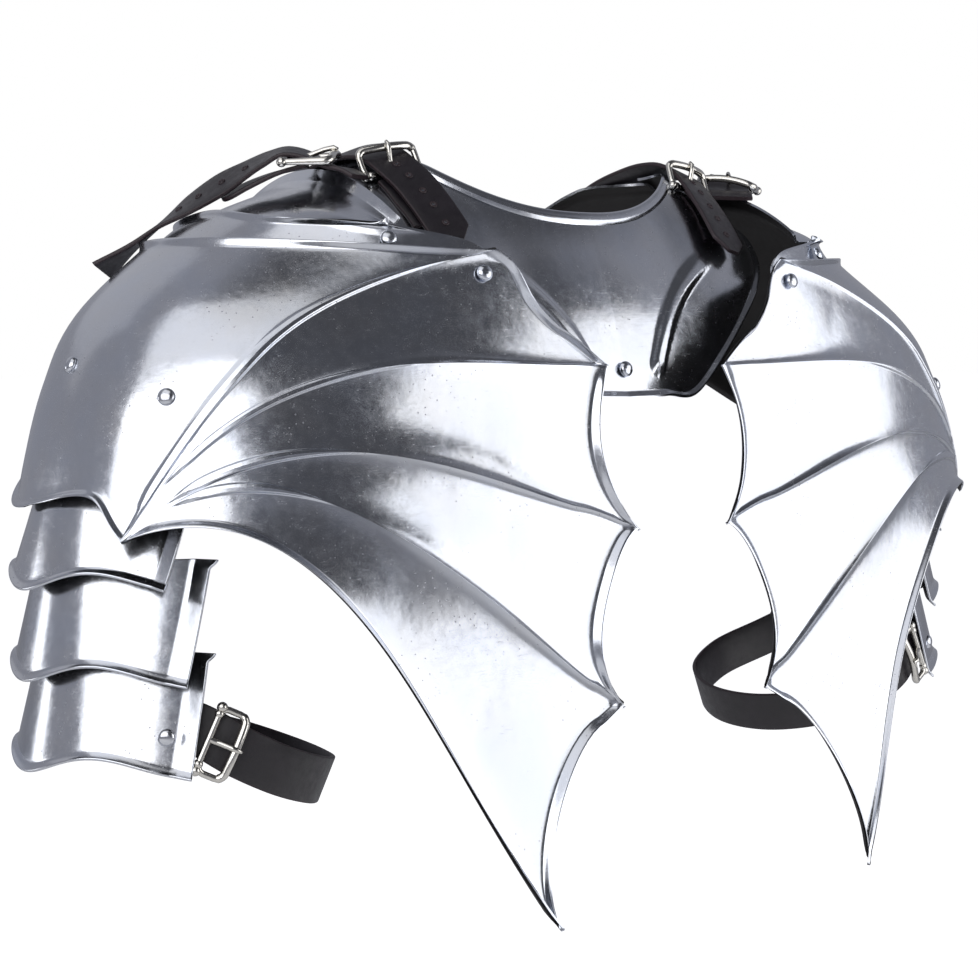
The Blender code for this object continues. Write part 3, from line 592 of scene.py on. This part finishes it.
def edged(count, length, lip, steps):
    """0..1 along a length, with fine steps over the lip at both ends."""
    share = np.minimum(lip / np.asarray(length, float), 0.3)[..., None]
    fine = np.linspace(0, 1, steps)
    middle = np.linspace(0, 1, count)[1:-1]
    return np.concatenate([
        share * fine, share + (1 - 2 * share) * middle, 1 - share * fine[::-1]], -1)


def fold(distance, width):
    """1 at an edge or crest, falling to 0 at width from it."""
    return np.clip(1 - distance / width, 0, 1) ** 2


def turned(distance, width=FLANGE_WIDTH):
    """Height share of a turned-out edge: a cove that rises to a rolled-over lip."""
    share = np.clip(distance / width, 0, 1)
    return 1 - smooth(share) - LIP_DROP * fold(share, LIP_SHARE)


def ridge(distance):
    """1 on a rib's rounded crest, falling to 0 beside it."""
    return fold(np.sqrt(distance**2 + RIB_CREST**2) - RIB_CREST, RIB_HALF_WIDTH)


# ------------ wing plate
def bead(rib, t, distance):
    """Height of the bead on a rib, which runs to a point at both ends."""
    start, end = BEADS[rib]
    taper = smooth((t - start) / BEAD_POINT) * smooth((end - t) / (0.5 * (end - start)))
    half = BEAD_HALF_WIDTH * taper ** 0.6
    return BEAD_RISE * taper ** 0.5 * smooth((half - distance) / BEAD_SIDE + 0.5)


def rib(number, t, distance):
    """Height of a rib over the webs beside it: its swell, which grows outward, and its bead."""
    return RIB_RISE * smooth((t - 0.3) / 0.6) * ridge(distance) + bead(number, t, distance)


def web_point(k, f, t):
    """Between two ribs, and on the scalloped edge at their far end."""
    near, far = RAYS[k], RAYS[k + 1]
    share = f[..., None]
    line = bezier(t, near) * (1 - share) + bezier(t, far) * share
    chord = np.array(near[3]) * (1 - share) + np.array(far[3]) * share
    return line + t[..., None]**3 * (bezier(f, (near[3], *SCALLOPS[k], far[3])) - chord)


def ray_steps(k, f):
    """t along one line of the fan, with fine steps in the flange, and the lengths left."""
    last = 0.05
    end = web_point(k, f, np.ones_like(f))
    speed = apart(end, web_point(k, f, np.full_like(f, 1 - last))) / last
    flange = (1 - FLANGE_WIDTH / speed)[..., None]
    body = np.linspace(0, 1, RAY_STEPS) ** 0.85 * flange
    edge = flange + (1 - flange) * np.linspace(0, 1, LIP_STEPS + 1)[1:]
    t = np.concatenate([body, edge], -1)
    return t, (1 - t) * speed[..., None]


def web(k):
    """One membrane between two ribs, as rows of points from its root to the scalloped edge."""
    f = RIB_SHARE * np.linspace(0, 1, RIB_STEPS) ** 1.5
    f = np.concatenate([
        f, np.linspace(RIB_SHARE, 1 - RIB_SHARE, WEB_STEPS)[1:-1], 1 - f[::-1]])
    t, left = ray_steps(k, f)
    f = f[:, None] * np.ones_like(t)
    width = apart(bezier(t, RAYS[k]), bezier(t, RAYS[k + 1])) + 1e-6
    # hollow across, and shallower at the root and at the scalloped edge
    hollow = -np.minimum(MEMBRANE_DIP, DIP_SHARE * width) * 4 * f * (1 - f)
    hollow = hollow * np.minimum(1, 3 * (1 - t) + 0.4) * (0.2 + 0.8 * smooth((t - 0.15) / 0.7))
    if k == len(SCALLOPS) - 1:
        far = FLANGE_RISE * turned((1 - f) * width, np.minimum(FLANGE_WIDTH, 0.8 * width))
    else:
        far = rib(k + 1, t, (1 - f) * width)
    from_tip = np.minimum(f, 1 - f)[:, -1:] * width[-1, -1] / TIP_REACH
    lip = turned(left, SCALLOP_FLANGES[k] + TIP_WIDENING * np.exp(-from_tip**2))
    rise = np.maximum(rib(k, t, f * width), far) * (1 - FLANGE_CLEARS * lip)
    rise = np.where(t == 0, 0, hollow * (1 - lip) + rise + FLANGE_RISE * lip)
    spot = web_point(k, f, t)
    return lifted(spot[..., 0], spot[..., 1], rise)


def top_level(beta):
    """The top edge is level except for its last few degrees, down to the first wing tip."""
    return RAYS[0][3][1] * np.clip((TIP_FROM - beta) / (TIP_FROM - RAYS[0][3][0]), 0, 1)


def column(bottom, ray_t=None):
    """Columns of points from the lower edge, or the first rib where ray_t is given, to the top."""
    beta, level = bottom[..., 0], bottom[..., 1]
    top = top_level(beta)
    height = np.linalg.norm(shoulder(beta, level) - shoulder(beta, top), axis=-1) + 1e-6
    s = edged(PLATE_STEPS, height, FLANGE_WIDTH, EDGE_STEPS)
    low = s * height[:, None]
    lip = turned((1 - s) * height[:, None])
    if ray_t is None:
        rise = FLANGE_RISE * turned(low)
    else:
        # the columns lean, and a rib is measured square to its line
        slope = np.gradient(shoulder(beta, level), axis=0)
        upright = shoulder(beta, top) - shoulder(beta, level)
        square = np.linalg.norm(np.cross(slope, upright), axis=-1)
        square = square / (np.linalg.norm(slope, axis=-1) * height)
        rise = rib(0, ray_t[:, None], low * square[:, None])
    rise = rise * (1 - FLANGE_CLEARS * lip) + FLANGE_RISE * lip
    here = level[:, None] + (top - level)[:, None] * s
    return lifted(beta[:, None], here, rise)


def wing_plate():
    webs = [web(k) for k in range(len(SCALLOPS))]
    t = ray_steps(0, np.zeros(1))[0][0]
    above = column(bezier(t, RAYS[0]), t)
    shares = np.linspace(0, 1, CAP_STEPS)
    cap = column(bezier(shares, CAP_EDGE))
    front = column(bezier(shares, FRONT_EDGE))
    # neighbours share the points along their common lines
    above[:, 0] = webs[0][0]
    above[0] = cap[0]
    for k, patch in enumerate(webs):
        patch[:, 0] = cap[0, 0]
        if k:
            patch[0] = webs[k - 1][-1]
    patches = [w[::-1] for w in webs] + [above[::-1], np.concatenate([cap, front[1:]])]
    plate("wing_shell", "wing_plate", patches)


# ------------ upper lames
def lame_patch(top, bottom, ends, insets, rows, edge):
    """A lame as rows from its lower to its upper edge. top holds the upper edge's levels, and
    edge(distance) is the height of its turned upper edge."""
    i = np.linspace(0, 1, len(top))
    height = top - bottom
    s = edged(rows, height, LAME_EDGE, 12)
    back, front = (low + (high - low) * s for high, low in ends)
    level = bottom + height[:, None] * s
    rise = edge((1 - s) * height[:, None])
    for start, over, depth in insets:
        rise = rise - depth * np.clip((start - level) / over, 0, 1)
    return lifted(back + (front - back) * i[:, None], level, rise)


def upper_lames():
    width, rise = NECK_EDGE
    bottom, top = LAME_1_LEVELS
    plate("neck_lame", "upper_lame_1", [lame_patch(
        np.full(90, top), bottom, LAME_1_ENDS, LAME_1_INSETS, 26,
        lambda distance: rise * np.clip(1 - distance / width, 0, 1))])
    tops = through(np.linspace(0, 1, 100), LAME_2_TOP[:, 0], LAME_2_TOP[:, 1:])[..., 0]
    plate("shoulder_lame", "upper_lame_2", [lame_patch(
        tops, LAME_2_BOTTOM, LAME_2_ENDS, LAME_2_INSETS, 22,
        lambda distance: FLANGE_RISE * turned(distance))])


# ------------ arm lames
def arm_point(beta, z, outset):
    b = np.radians(beta)
    x = ARM_CENTRE[0] + (ARM_RADII[0] + outset) * np.sin(b)
    y = ARM_CENTRE[1] + (ARM_RADII[1] + outset) * np.cos(b)
    return np.stack(np.broadcast_arrays(x, y, z), -1)


def arm_lames():
    """Three lames with a turned-out lower edge and a wide flare down the back and front edges."""
    corner_from = 1 - ARM_CORNER_SHARE
    s = np.concatenate([
        np.linspace(0, ARM_LIP_SHARE, 9), np.linspace(ARM_LIP_SHARE, corner_from, 22)[1:],
        np.linspace(corner_from, 1, 8)[1:]])[None, :]
    flare = np.linspace(0, ARM_FLARE_SHARE, 12)
    share = np.concatenate([
        flare, np.linspace(ARM_FLARE_SHARE, 1 - ARM_FLARE_SHARE, 60)[1:-1],
        1 - flare[::-1]])[:, None]
    flared = np.clip(1 - share / ARM_FLARE_SHARE, 0, 1)
    flared_front = np.clip(1 - (1 - share) / ARM_FLARE_SHARE, 0, 1)
    corner = smooth((s - corner_from) / ARM_CORNER_SHARE)
    low_inset, top_inset = ARM_INSETS
    outset = -low_inset - (top_inset - low_inset) * s
    outset = outset + ARM_LIP * np.clip(1 - s / ARM_LIP_SHARE, 0, 1) ** 2
    outset = outset + ARM_FLARE * flared**1.1 * (0.7 + 0.3 * s + 0.25 * corner)
    # the front edge stands out most at 0.4 of its height, and not at all from 0.6 up
    outset = outset + ARM_FLARE * flared_front**1.5 * np.interp(
        s, (0.0, 0.4, 0.6), (0.35, 1.3, 0.0))
    for number, (z_low, z_top, back_top, back_low, front) in enumerate(ARM_LAMES, 1):
        beta = (back_low + (back_top - back_low) * s) * (1 - share) + front * share
        wave = ARM_WAVE * np.cos(np.radians((beta - ARM_WAVE_CREST) / ARM_WAVE_FALL * 180.0))
        beta = beta - ARM_FLARE_TURN * flared**0.8 * corner
        z = (z_low + wave) * (1 - s) + z_top * s
        plate(f"arm_lame_shell_{number}", f"arm_lame_{number}", [arm_point(beta, z, outset)])


# ------------ gorget
def neckline(angle, front):
    """Its points: angle is 0 at the middle of the front or back and 90 at the side."""
    half_width, half_depth, middle, z_back, z_side = NECK
    a = np.radians(angle)
    z_end = NECK_FRONT_Z if front else z_back
    lift = np.abs(np.sin(a)) ** NECK_LIFT
    sag = NECK_SAG * smooth((angle - NECK_SAG_FROM) / (90.0 - NECK_SAG_FROM))
    z = z_end + (z_side - z_end) * lift - sag
    y = half_depth * np.cos(a) * (-1 if front else 1)
    return np.stack([half_width * np.sin(a), middle + y, z], -1)


def crescent(across, z):
    """Height of the two mirrored crescent ridges, each with a gentle and a steep side."""
    share = np.linspace(0, 1, 60)
    p = np.array(CRESCENT)
    bend = (1 - share)[:, None]**2 * p[0] + 2 * (share * (1 - share))[:, None] * p[1]
    bend = bend + share[:, None]**2 * p[2]
    offset = np.stack([np.abs(across), z], -1)[..., None, :] - bend
    distance = np.linalg.norm(offset, axis=-1)
    nearest = distance.argmin(-1)
    way = np.gradient(bend, axis=0)[nearest]
    gap = np.take_along_axis(offset, nearest[..., None, None], -2)[..., 0, :]
    outer = np.sign(gap[..., 0] * way[..., 1] - gap[..., 1] * way[..., 0])
    signed = outer * distance.min(-1)
    rise = smooth((signed + CRESCENT_WIDTH) / CRESCENT_SLOPE) * smooth(-signed / CRESCENT_DROP)
    begin, end = CRESCENT_ENDS
    ends = smooth(np.minimum(share / begin, (1 - share) / end))
    return CRESCENT_RISE * rise * ends[nearest]


def gorget_plate(name, cad, table, front):
    turns = np.concatenate([np.linspace(0, CLOSE_TURN, 60 if front else 130)[:-1],
                            np.linspace(CLOSE_TURN, table[-1, 0], 46)])
    start = neckline(turns, front)
    end = through(turns, table[:, 0], table[:, 1:])
    out = (end - start) * (1, 1, 0)
    down = (end - start) * (0, 0, 1)
    length = np.linalg.norm(end - start, axis=-1)
    s = edged(56, length, GORGET_EDGE, EDGE_STEPS)
    a, b, c, d = GORGET_SWEEP
    handles = (start, start + a * out + b * down, end - c * out - d * down, end)
    line = bezier(s, [h[:, None] for h in handles])
    line[..., 2] += COLLAR_RISE * fold(s * length[:, None], COLLAR_WIDTH)
    facing = unit(np.cross(np.gradient(line, axis=0), np.gradient(line, axis=1)))
    facing = facing * np.sign(facing[..., 2:])
    roll = s * length[:, None] / ROLL_WIDTH * 2 - 1
    rise = ROLL_RISE * np.sqrt(np.clip(1 - roll**2, 0, 1))
    if not front:
        rise = rise + crescent(line[..., 0], line[..., 2])
    line = line + rise[..., None] * facing
    lip = turned((1 - s) * length[:, None])[..., None]
    outward, up = GORGET_LIP
    line = line + FLANGE_RISE * lip * (unit(out)[:, None] * outward + (0.0, 0.0, up))
    if front:
        drop, start, over = FRONT_DROP
        line[..., 2] -= drop * np.clip((turns - start) / over, 0, 1)[:, None]
    patch = np.concatenate([line[:0:-1] * (-1, 1, 1), line])
    plate(name, cad, [patch if front else patch[::-1]], MIDDLE)


# ------------ leather
def strap_frames(knots, away_from, steps):
    """Middle, outer-face direction and across direction at each step along a strap, and its
    length; the outer face looks away from one point."""
    knots = np.array([(*k, 0.0)[:4] for k in knots])
    run = np.concatenate([[0], np.cumsum(np.linalg.norm(np.diff(knots[:, :3], axis=0), axis=1))])
    path = through(np.linspace(0, run[-1], steps), run, knots)
    centre = path[:, :3]
    along = unit(np.gradient(centre, axis=0))
    face = square_to(along, centre - away_from)
    across = np.cross(along, face)
    lean = np.radians(path[:, 3])[:, None]
    face, across = (face * np.cos(lean) + across * np.sin(lean),
                    across * np.cos(lean) - face * np.sin(lean))
    return centre, face, across, run[-1]


def strap(name, cad, knots, away_from, width=STRAP_WIDTH, tip=0.0, steps=90,
          round_end=False, holes=()):
    """A strap with rounded edges. tip is the length of its pointed or rounded end; holes are
    the distances of its buckle holes from that end, and the steel under it shows through."""
    centre, face, across, length = strap_frames(knots, away_from, steps)
    half_t = LEATHER / 2
    # section: share of the half width, offset outward from there, height over the middle
    right = []
    for bend in (90, 60, 30, 0, -30, -60, -90):
        a = math.radians(bend)
        level = (half_t - STRAP_CORNER) * np.sign(bend)
        right.append((1, STRAP_CORNER * math.cos(a) - STRAP_CORNER,
                      level + STRAP_CORNER * math.sin(a)))
    flat = (0.55, 0.0, -0.55)
    section = [(-v, 0.0, half_t) for v in flat] + right
    section += [(v, 0.0, -half_t) for v in flat]
    section += [(-v, -w, h) for v, w, h in right[::-1]]
    half = np.full(steps, width / 2)
    if tip:
        left = np.clip((length - np.linspace(0, length, steps)) / tip, 0, 1)
        if round_end:
            half = half * np.sqrt(np.clip(1 - (1 - left) ** 2, 0.02, 1))
        else:
            half = half * (POINT_END + (1 - POINT_END) * left)
    points = np.stack([
        centre + across * (half * v + w)[:, None] + face * (h - half_t)
        for v, w, h in section], 1)
    count = len(section)
    last = (steps - 1) * count
    faces = ring_faces(steps, count)
    faces += [tuple(range(count)), tuple(reversed(range(last, last + count)))]
    # index 1, the cut edge, is on the bends of the section and across both ends
    bends = [1 if 3 <= c < 8 or 13 <= c < 18 else 0 for c in range(count)]
    index = bends * (steps - 1) + [1, 1]
    parts = [(points.reshape(-1, 3), faces)]
    for hole in holes:
        spot = int(round((length - hole) / length * (steps - 1)))
        turn = full_turn(HOLE_STEPS)[:, None]
        circle = across[spot] * np.cos(turn) + np.cross(across[spot], face[spot]) * np.sin(turn)
        rim = tube(centre[spot] + HOLE_RADIUS * circle, HOLE_RIM,
                   np.tile(face[spot], (HOLE_STEPS, 1)), 8, True)
        seen = centre[spot] + face[spot] * HOLE_FLOOR + (HOLE_RADIUS - 0.2) * circle
        parts += [rim, (seen, [tuple(range(HOLE_STEPS))])]
        index += [1] * len(rim[1]) + [2]
    points, faces = joined(parts)
    put_piece(name, cad, points, faces, (HIDE, HIDE_EDGE, STEEL), index)


def arm_strap_path():
    start = [arm_point(*spot) for spot in (
        (44.0, -254.0, -12.0), (34.0, -258.0, -12.0), (24.0, -264.0, -10.5))]
    middle = [
        (236.0, 105.5, -274.5), (214.0, 106.0, -286.0), (182.0, 92.0, -298.0),
        (158.0, 62.0, -304.0), (153.0, 25.0, -303.0), (168.0, -8.0, -296.0),
        (200.0, -26.0, -286.0),
    ]
    end = [arm_point(*spot) for spot in (
        (160.0, -274.0, -12.0), (146.0, -266.0, -12.0), (132.0, -260.0, -12.0))]
    return start + middle + end


def arm_leather_path(cap_beta, cap_level, beta):
    cap = [lifted(cap_beta, cap_level, -5.0), lifted(cap_beta, cap_level - 26.0, -15.0)]
    arm = [arm_point(beta, *spot) for spot in (
        (-146.0, -28.0), (-190.0, -26.0), (-232.0, -25.0), (-270.0, -25.0))]
    return cap + arm


# ------------ buckles and rivets
def full_turn(steps):
    return np.linspace(0, 2 * np.pi, steps, endpoint=False)


def tube(points, radii, normals, sections, closed=False):
    """(points, faces) of a round rod; normals give the way its sections start."""
    points = np.array(points, float)
    count = len(points)
    along = unit(np.roll(points, -1, 0) - np.roll(points, 1, 0) if closed
                 else np.gradient(points, axis=0))
    normals = square_to(along, normals)
    side = np.cross(along, normals)
    a = full_turn(sections)[:, None]
    radii = np.broadcast_to(radii, (count,))[:, None, None]
    rings = points[:, None] + radii * (normals[:, None] * np.cos(a) + side[:, None] * np.sin(a))
    faces = [f[::-1] for f in ring_faces(count, sections, closed)]
    if not closed:
        faces += [tuple(reversed(range(sections))),
                  tuple(range((count - 1) * sections, count * sections))]
    return rings.reshape(-1, 3), faces


def buckle(name, cad, heel, front, face):
    """A cast frame: heel bar with beaded ends, bowed front bar, and a prong from heel to front."""
    heel, front, face = np.array((heel, front, face))
    length = np.linalg.norm(front - heel)
    along = (front - heel) / length
    centre = (front + heel) / 2
    face = square_to(along, face)
    across = np.cross(along, face)
    half_w = BUCKLE_WIDTH / 2 - BUCKLE_ROD
    half_l = length / 2
    to_bend = half_w - BUCKLE_CORNER
    # distances along and across, corner by corner
    outline = []
    for sl, sw in ((1, 1), (1, -1), (-1, -1), (-1, 1)):
        for a in np.radians(np.linspace(0, 90, 7)[::sl * sw]):
            outline.append((sl * (half_l - BUCKLE_CORNER + BUCKLE_CORNER * math.sin(a)),
                            sw * (to_bend + BUCKLE_CORNER * math.cos(a))))
        if sl == sw:
            outline += [(sl * half_l, sw * to_bend * (1 - q / 6)) for q in range(1, 12)]
    rod = []
    radii = []
    for l, w in outline:
        bow = BUCKLE_BOW * (1 - (w / half_w) ** 2) * (l > 0)
        rod.append(centre + along * l + across * w + face * bow)
        radii.append(BUCKLE_ROD * (FRONT_BAR if l > 0.6 * half_l else 1.0))
    parts = [tube(rod, np.array(radii), np.tile(face, (len(rod), 1)), 12, True)]
    for sw in (1, -1):
        for inset, size in BUCKLE_BEADS:
            parts.append(ball(centre - along * half_l + across * sw * (half_w - inset), size))
    prong = [centre + along * (share * half_l + more) + face * up for share, more, up, _ in PRONG]
    parts.append(tube(prong, np.array(PRONG)[:, 3], np.tile(face, (len(prong), 1)), 10))
    points, faces = joined(parts)
    put_piece(name, cad, points, faces, (NICKEL,), 0)


def ball(centre, radius, rows=8, turns=14):
    v = np.linspace(0, np.pi, rows + 1)[1:-1]
    u = full_turn(turns)
    ring = np.stack([
        np.sin(v)[:, None] * np.cos(u), np.sin(v)[:, None] * np.sin(u),
        np.cos(v)[:, None] * np.ones(turns)], -1).reshape(-1, 3)
    points = np.concatenate([[[0, 0, 1]], ring, [[0, 0, -1]]]) * radius + centre
    faces = [tuple(v + 1 for v in f[1:] + f[:1]) for f in ring_faces(rows - 1, turns)]
    last = len(points) - 1
    for k in range(turns):
        n = (k + 1) % turns
        faces += [(0, 1 + k, 1 + n), (last - turns + k, last, last - turns + n)]
    return points, faces


def rivet(name, cad, base, normal, sides=BOTH):
    """A domed head, slightly flattened on top by the hammer."""
    normal = unit(np.array(normal))
    other = unit(np.cross(normal, (0.0, 0.0, 1.0)))
    turns = 24
    a = full_turn(turns)[:, None]
    circle = RIVET_RADIUS * (other * np.cos(a) + np.cross(normal, other) * np.sin(a))
    up = RIVET_RISE * normal
    rings = [base + share * circle + rise * up for share, rise in DOME]
    points = np.concatenate(rings + [[base + up]])
    top = (len(DOME) - 1) * turns
    faces = [tuple(range(turns))] + ring_faces(len(DOME), turns)
    faces += [(top + (k + 1) % turns, top + k, len(points) - 1) for k in range(turns)]
    put_piece(name, cad, points, faces, (STEEL,), 0, sides)


def shell_rivet(name, cad, beta, level, under=0.0):
    """A rivet square to the shoulder, with its base this far under the surface."""
    rivet(name, cad, lifted(beta, level, -under), shoulder_normal(beta, level))


# ------------ the object
def build():
    gorget_plate("gorget_back_shell", "gorget_back", BACK_EDGE, False)
    gorget_plate("gorget_front_shell", "gorget_front", FRONT_PLATE_EDGE, True)
    rivet("bib_rivet", "gorget_rivet", (0.0, 115.8, -93.0), (0.0, 1.0, 0.2), MIDDLE)
    wing_plate()
    upper_lames()
    arm_lames()
    in_neck = (86.0, 0.0, -45.0)
    strap("neck_belt", "neck_strap", NECK_STRAP, in_neck, tip=9.0,
          holes=(14.0, 26.0, 38.0, 50.0, 62.0))
    strap("neck_belt_tab", "neck_tab", NECK_TAB, in_neck, STRAP_WIDTH - 5, steps=40)
    below = (150.0, 20.0, -300.0)
    strap("pauldron_belt", "pauldron_strap", PAULDRON_STRAP, below,
          holes=(52.0, 66.0, 80.0, 94.0))
    strap("pauldron_belt_tab", "pauldron_tab", PAULDRON_TAB, below, 18.0, 9.0, 40, round_end=True)
    strap("arm_belt", "arm_strap", arm_strap_path(), (210.0, 38.0, -280.0), steps=160)
    buckle("neck_belt_buckle", "neck_buckle", (106.2, 50.3, 10.6), (107.4, 44.0, 23.8),
           (0.2, 0.86, 0.44))
    buckle("pauldron_belt_buckle", "pauldron_buckle", (159.1, 29.0, 16.3), (139.8, 45.5, 17.0),
           (0.0, 0.2, 1.0))
    buckle("arm_belt_buckle", "arm_buckle", (250.0, 103.6, -267.5), (238.0, 107.0, -273.5),
           (0.1, 1.0, 0.0))
    for place, wing_beta, lame_beta, lame_level in (
            ("back", 13.4, 33.0, 8.5), ("front", 166.6, 147.0, 11.0)):
        shell_rivet(f"wing_pivot_head_{place}", f"wing_pivot_{place}", wing_beta, -15.4)
        shell_rivet(f"lame_pivot_head_{place}", f"lame_pivot_{place}", lame_beta, lame_level, 0.8)
    for number, (spot, beta) in enumerate(zip(CAP_RIVETS, (48.0, 104.0)), 1):
        strap(f"arm_hanger_{number}", f"arm_leather_{number}", arm_leather_path(*spot, beta),
              (*ARM_CENTRE, -180.0), 20.0)
        shell_rivet(f"cap_rivet_head_{number}", f"cap_rivet_{number}", *spot)
    rivet("arm_rivet_head", "arm_rivet", arm_point(34.0, -266.0, -5.2), (0.5, 0.85, 0.0))


build()


# ------------ studio
# name, place, aim, width, height (all in metres), radiance
SOFTBOXES = (
    ("key", (1.37, 0.79, 0.42), (0.2, 0.1, -0.18), 1.85, 1.15, 2.0),
    ("key_top", (0.84, 0.38, 1.45), (0.15, 0.05, -0.1), 1.7, 1.3, 0.78),
    ("side", (-0.602, 0.55, -0.05), (-0.137, -0.335, -0.08), 0.65, 0.8, 1.45),
    ("side_low", (-0.264, 0.74, -0.13), (0.211, -0.14, -0.16), 0.42, 0.5, 1.45),
    ("front", (0.2, -1.4, 0.95), (0.2, 0.1, -0.1), 1.7, 1.0, 0.16),
    ("strip", (1.07, -0.92, -0.16), (0.3, 0.0, -0.2), 0.3, 0.36, 2.2),
)


def softbox(name, place, aim, width, height, radiance):
    """A rectangular light that gives the same brightness at any size."""
    data = bpy.data.lights.new(name, "AREA")
    data.shape = "RECTANGLE"
    data.size = width
    data.size_y = height
    data.energy = radiance * math.pi * width * height
    light = put_aimed(name, data, place, Vector(aim) - Vector(place))
    light.visible_camera = False


def dimmed(tree, direction, towards, start, full):
    """0..1 mask of the directions around one."""
    angle = node(tree, "ShaderNodeVectorMath", {
        0: direction, 1: Vector(towards).normalized()}, operation="DOT_PRODUCT")
    return node(tree, "ShaderNodeMapRange", {
        "Value": angle.outputs["Value"], "From Min": start, "From Max": full},
        interpolation_type="SMOOTHSTEP").outputs[0]


def surroundings():
    """A grey room with a dark gap behind and above; white where it is seen past the object."""
    world = bpy.data.worlds.new("studio")
    bpy.context.scene.world = world
    world.use_nodes = True
    tree = world.node_tree
    back = tree.nodes["Background"]
    direction = node(tree, "ShaderNodeTexCoord").outputs["Generated"]
    gap = dimmed(tree, direction, (-0.2, 0.85, 0.55), 0.76, 0.93)
    above = dimmed(tree, direction, (-0.25, 0.1, 0.96), 0.8, 0.95)
    dark = node(tree, "ShaderNodeMath", {0: gap, 1: above}, operation="MAXIMUM")
    room = node(tree, "ShaderNodeMapRange", {
        "Value": dark.outputs[0], "To Min": 0.34, "To Max": 0.09})
    seen = node(tree, "ShaderNodeLightPath")
    level = node(tree, "ShaderNodeMix", {
        0: seen.outputs["Is Camera Ray"], 2: room.outputs[0], 3: 1.0})
    tone = node(tree, "ShaderNodeMix", {
        0: seen.outputs["Is Camera Ray"], 6: linear("#F1F3FF"), 7: linear("#FFFFFF")},
        data_type="RGBA")
    fill(tree, back, {"Strength": level.outputs[0], "Color": tone.outputs[2]})


def floor():
    mesh = bpy.data.meshes.new("floor")
    reach = 30.0
    mesh.from_pydata([(-reach, -reach, 0), (reach, -reach, 0), (reach, reach, 0),
                      (-reach, reach, 0)], [], [(0, 1, 2, 3)])
    ground = put("floor", mesh)
    ground.location = (0, 0, -0.62)
    pale, tree, shader, place = new_material("matt_white_floor")
    speck = node(tree, "ShaderNodeTexNoise", {"Vector": place, "Scale": 3.0, "Detail": 2.0})
    tone = node(tree, "ShaderNodeMix", {
        0: speck.outputs["Fac"], 6: linear("#F6F6F6"), 7: linear("#FCFCFC")}, data_type="RGBA")
    seen = node(tree, "ShaderNodeLightPath").outputs["Is Camera Ray"]
    glow = node(tree, "ShaderNodeMath", {0: seen, 1: 0.85}, operation="MULTIPLY")
    fill(tree, shader, {
        "Base Color": tone.outputs[2], "Roughness": 0.9, "Emission Color": tone.outputs[2],
        "Emission Strength": glow.outputs[0]})
    mesh.materials.append(pale)


def studio():
    for light in SOFTBOXES:
        softbox(*light)
    surroundings()
    floor()
    bpy.context.scene.view_settings.view_transform = "Standard"


studio()
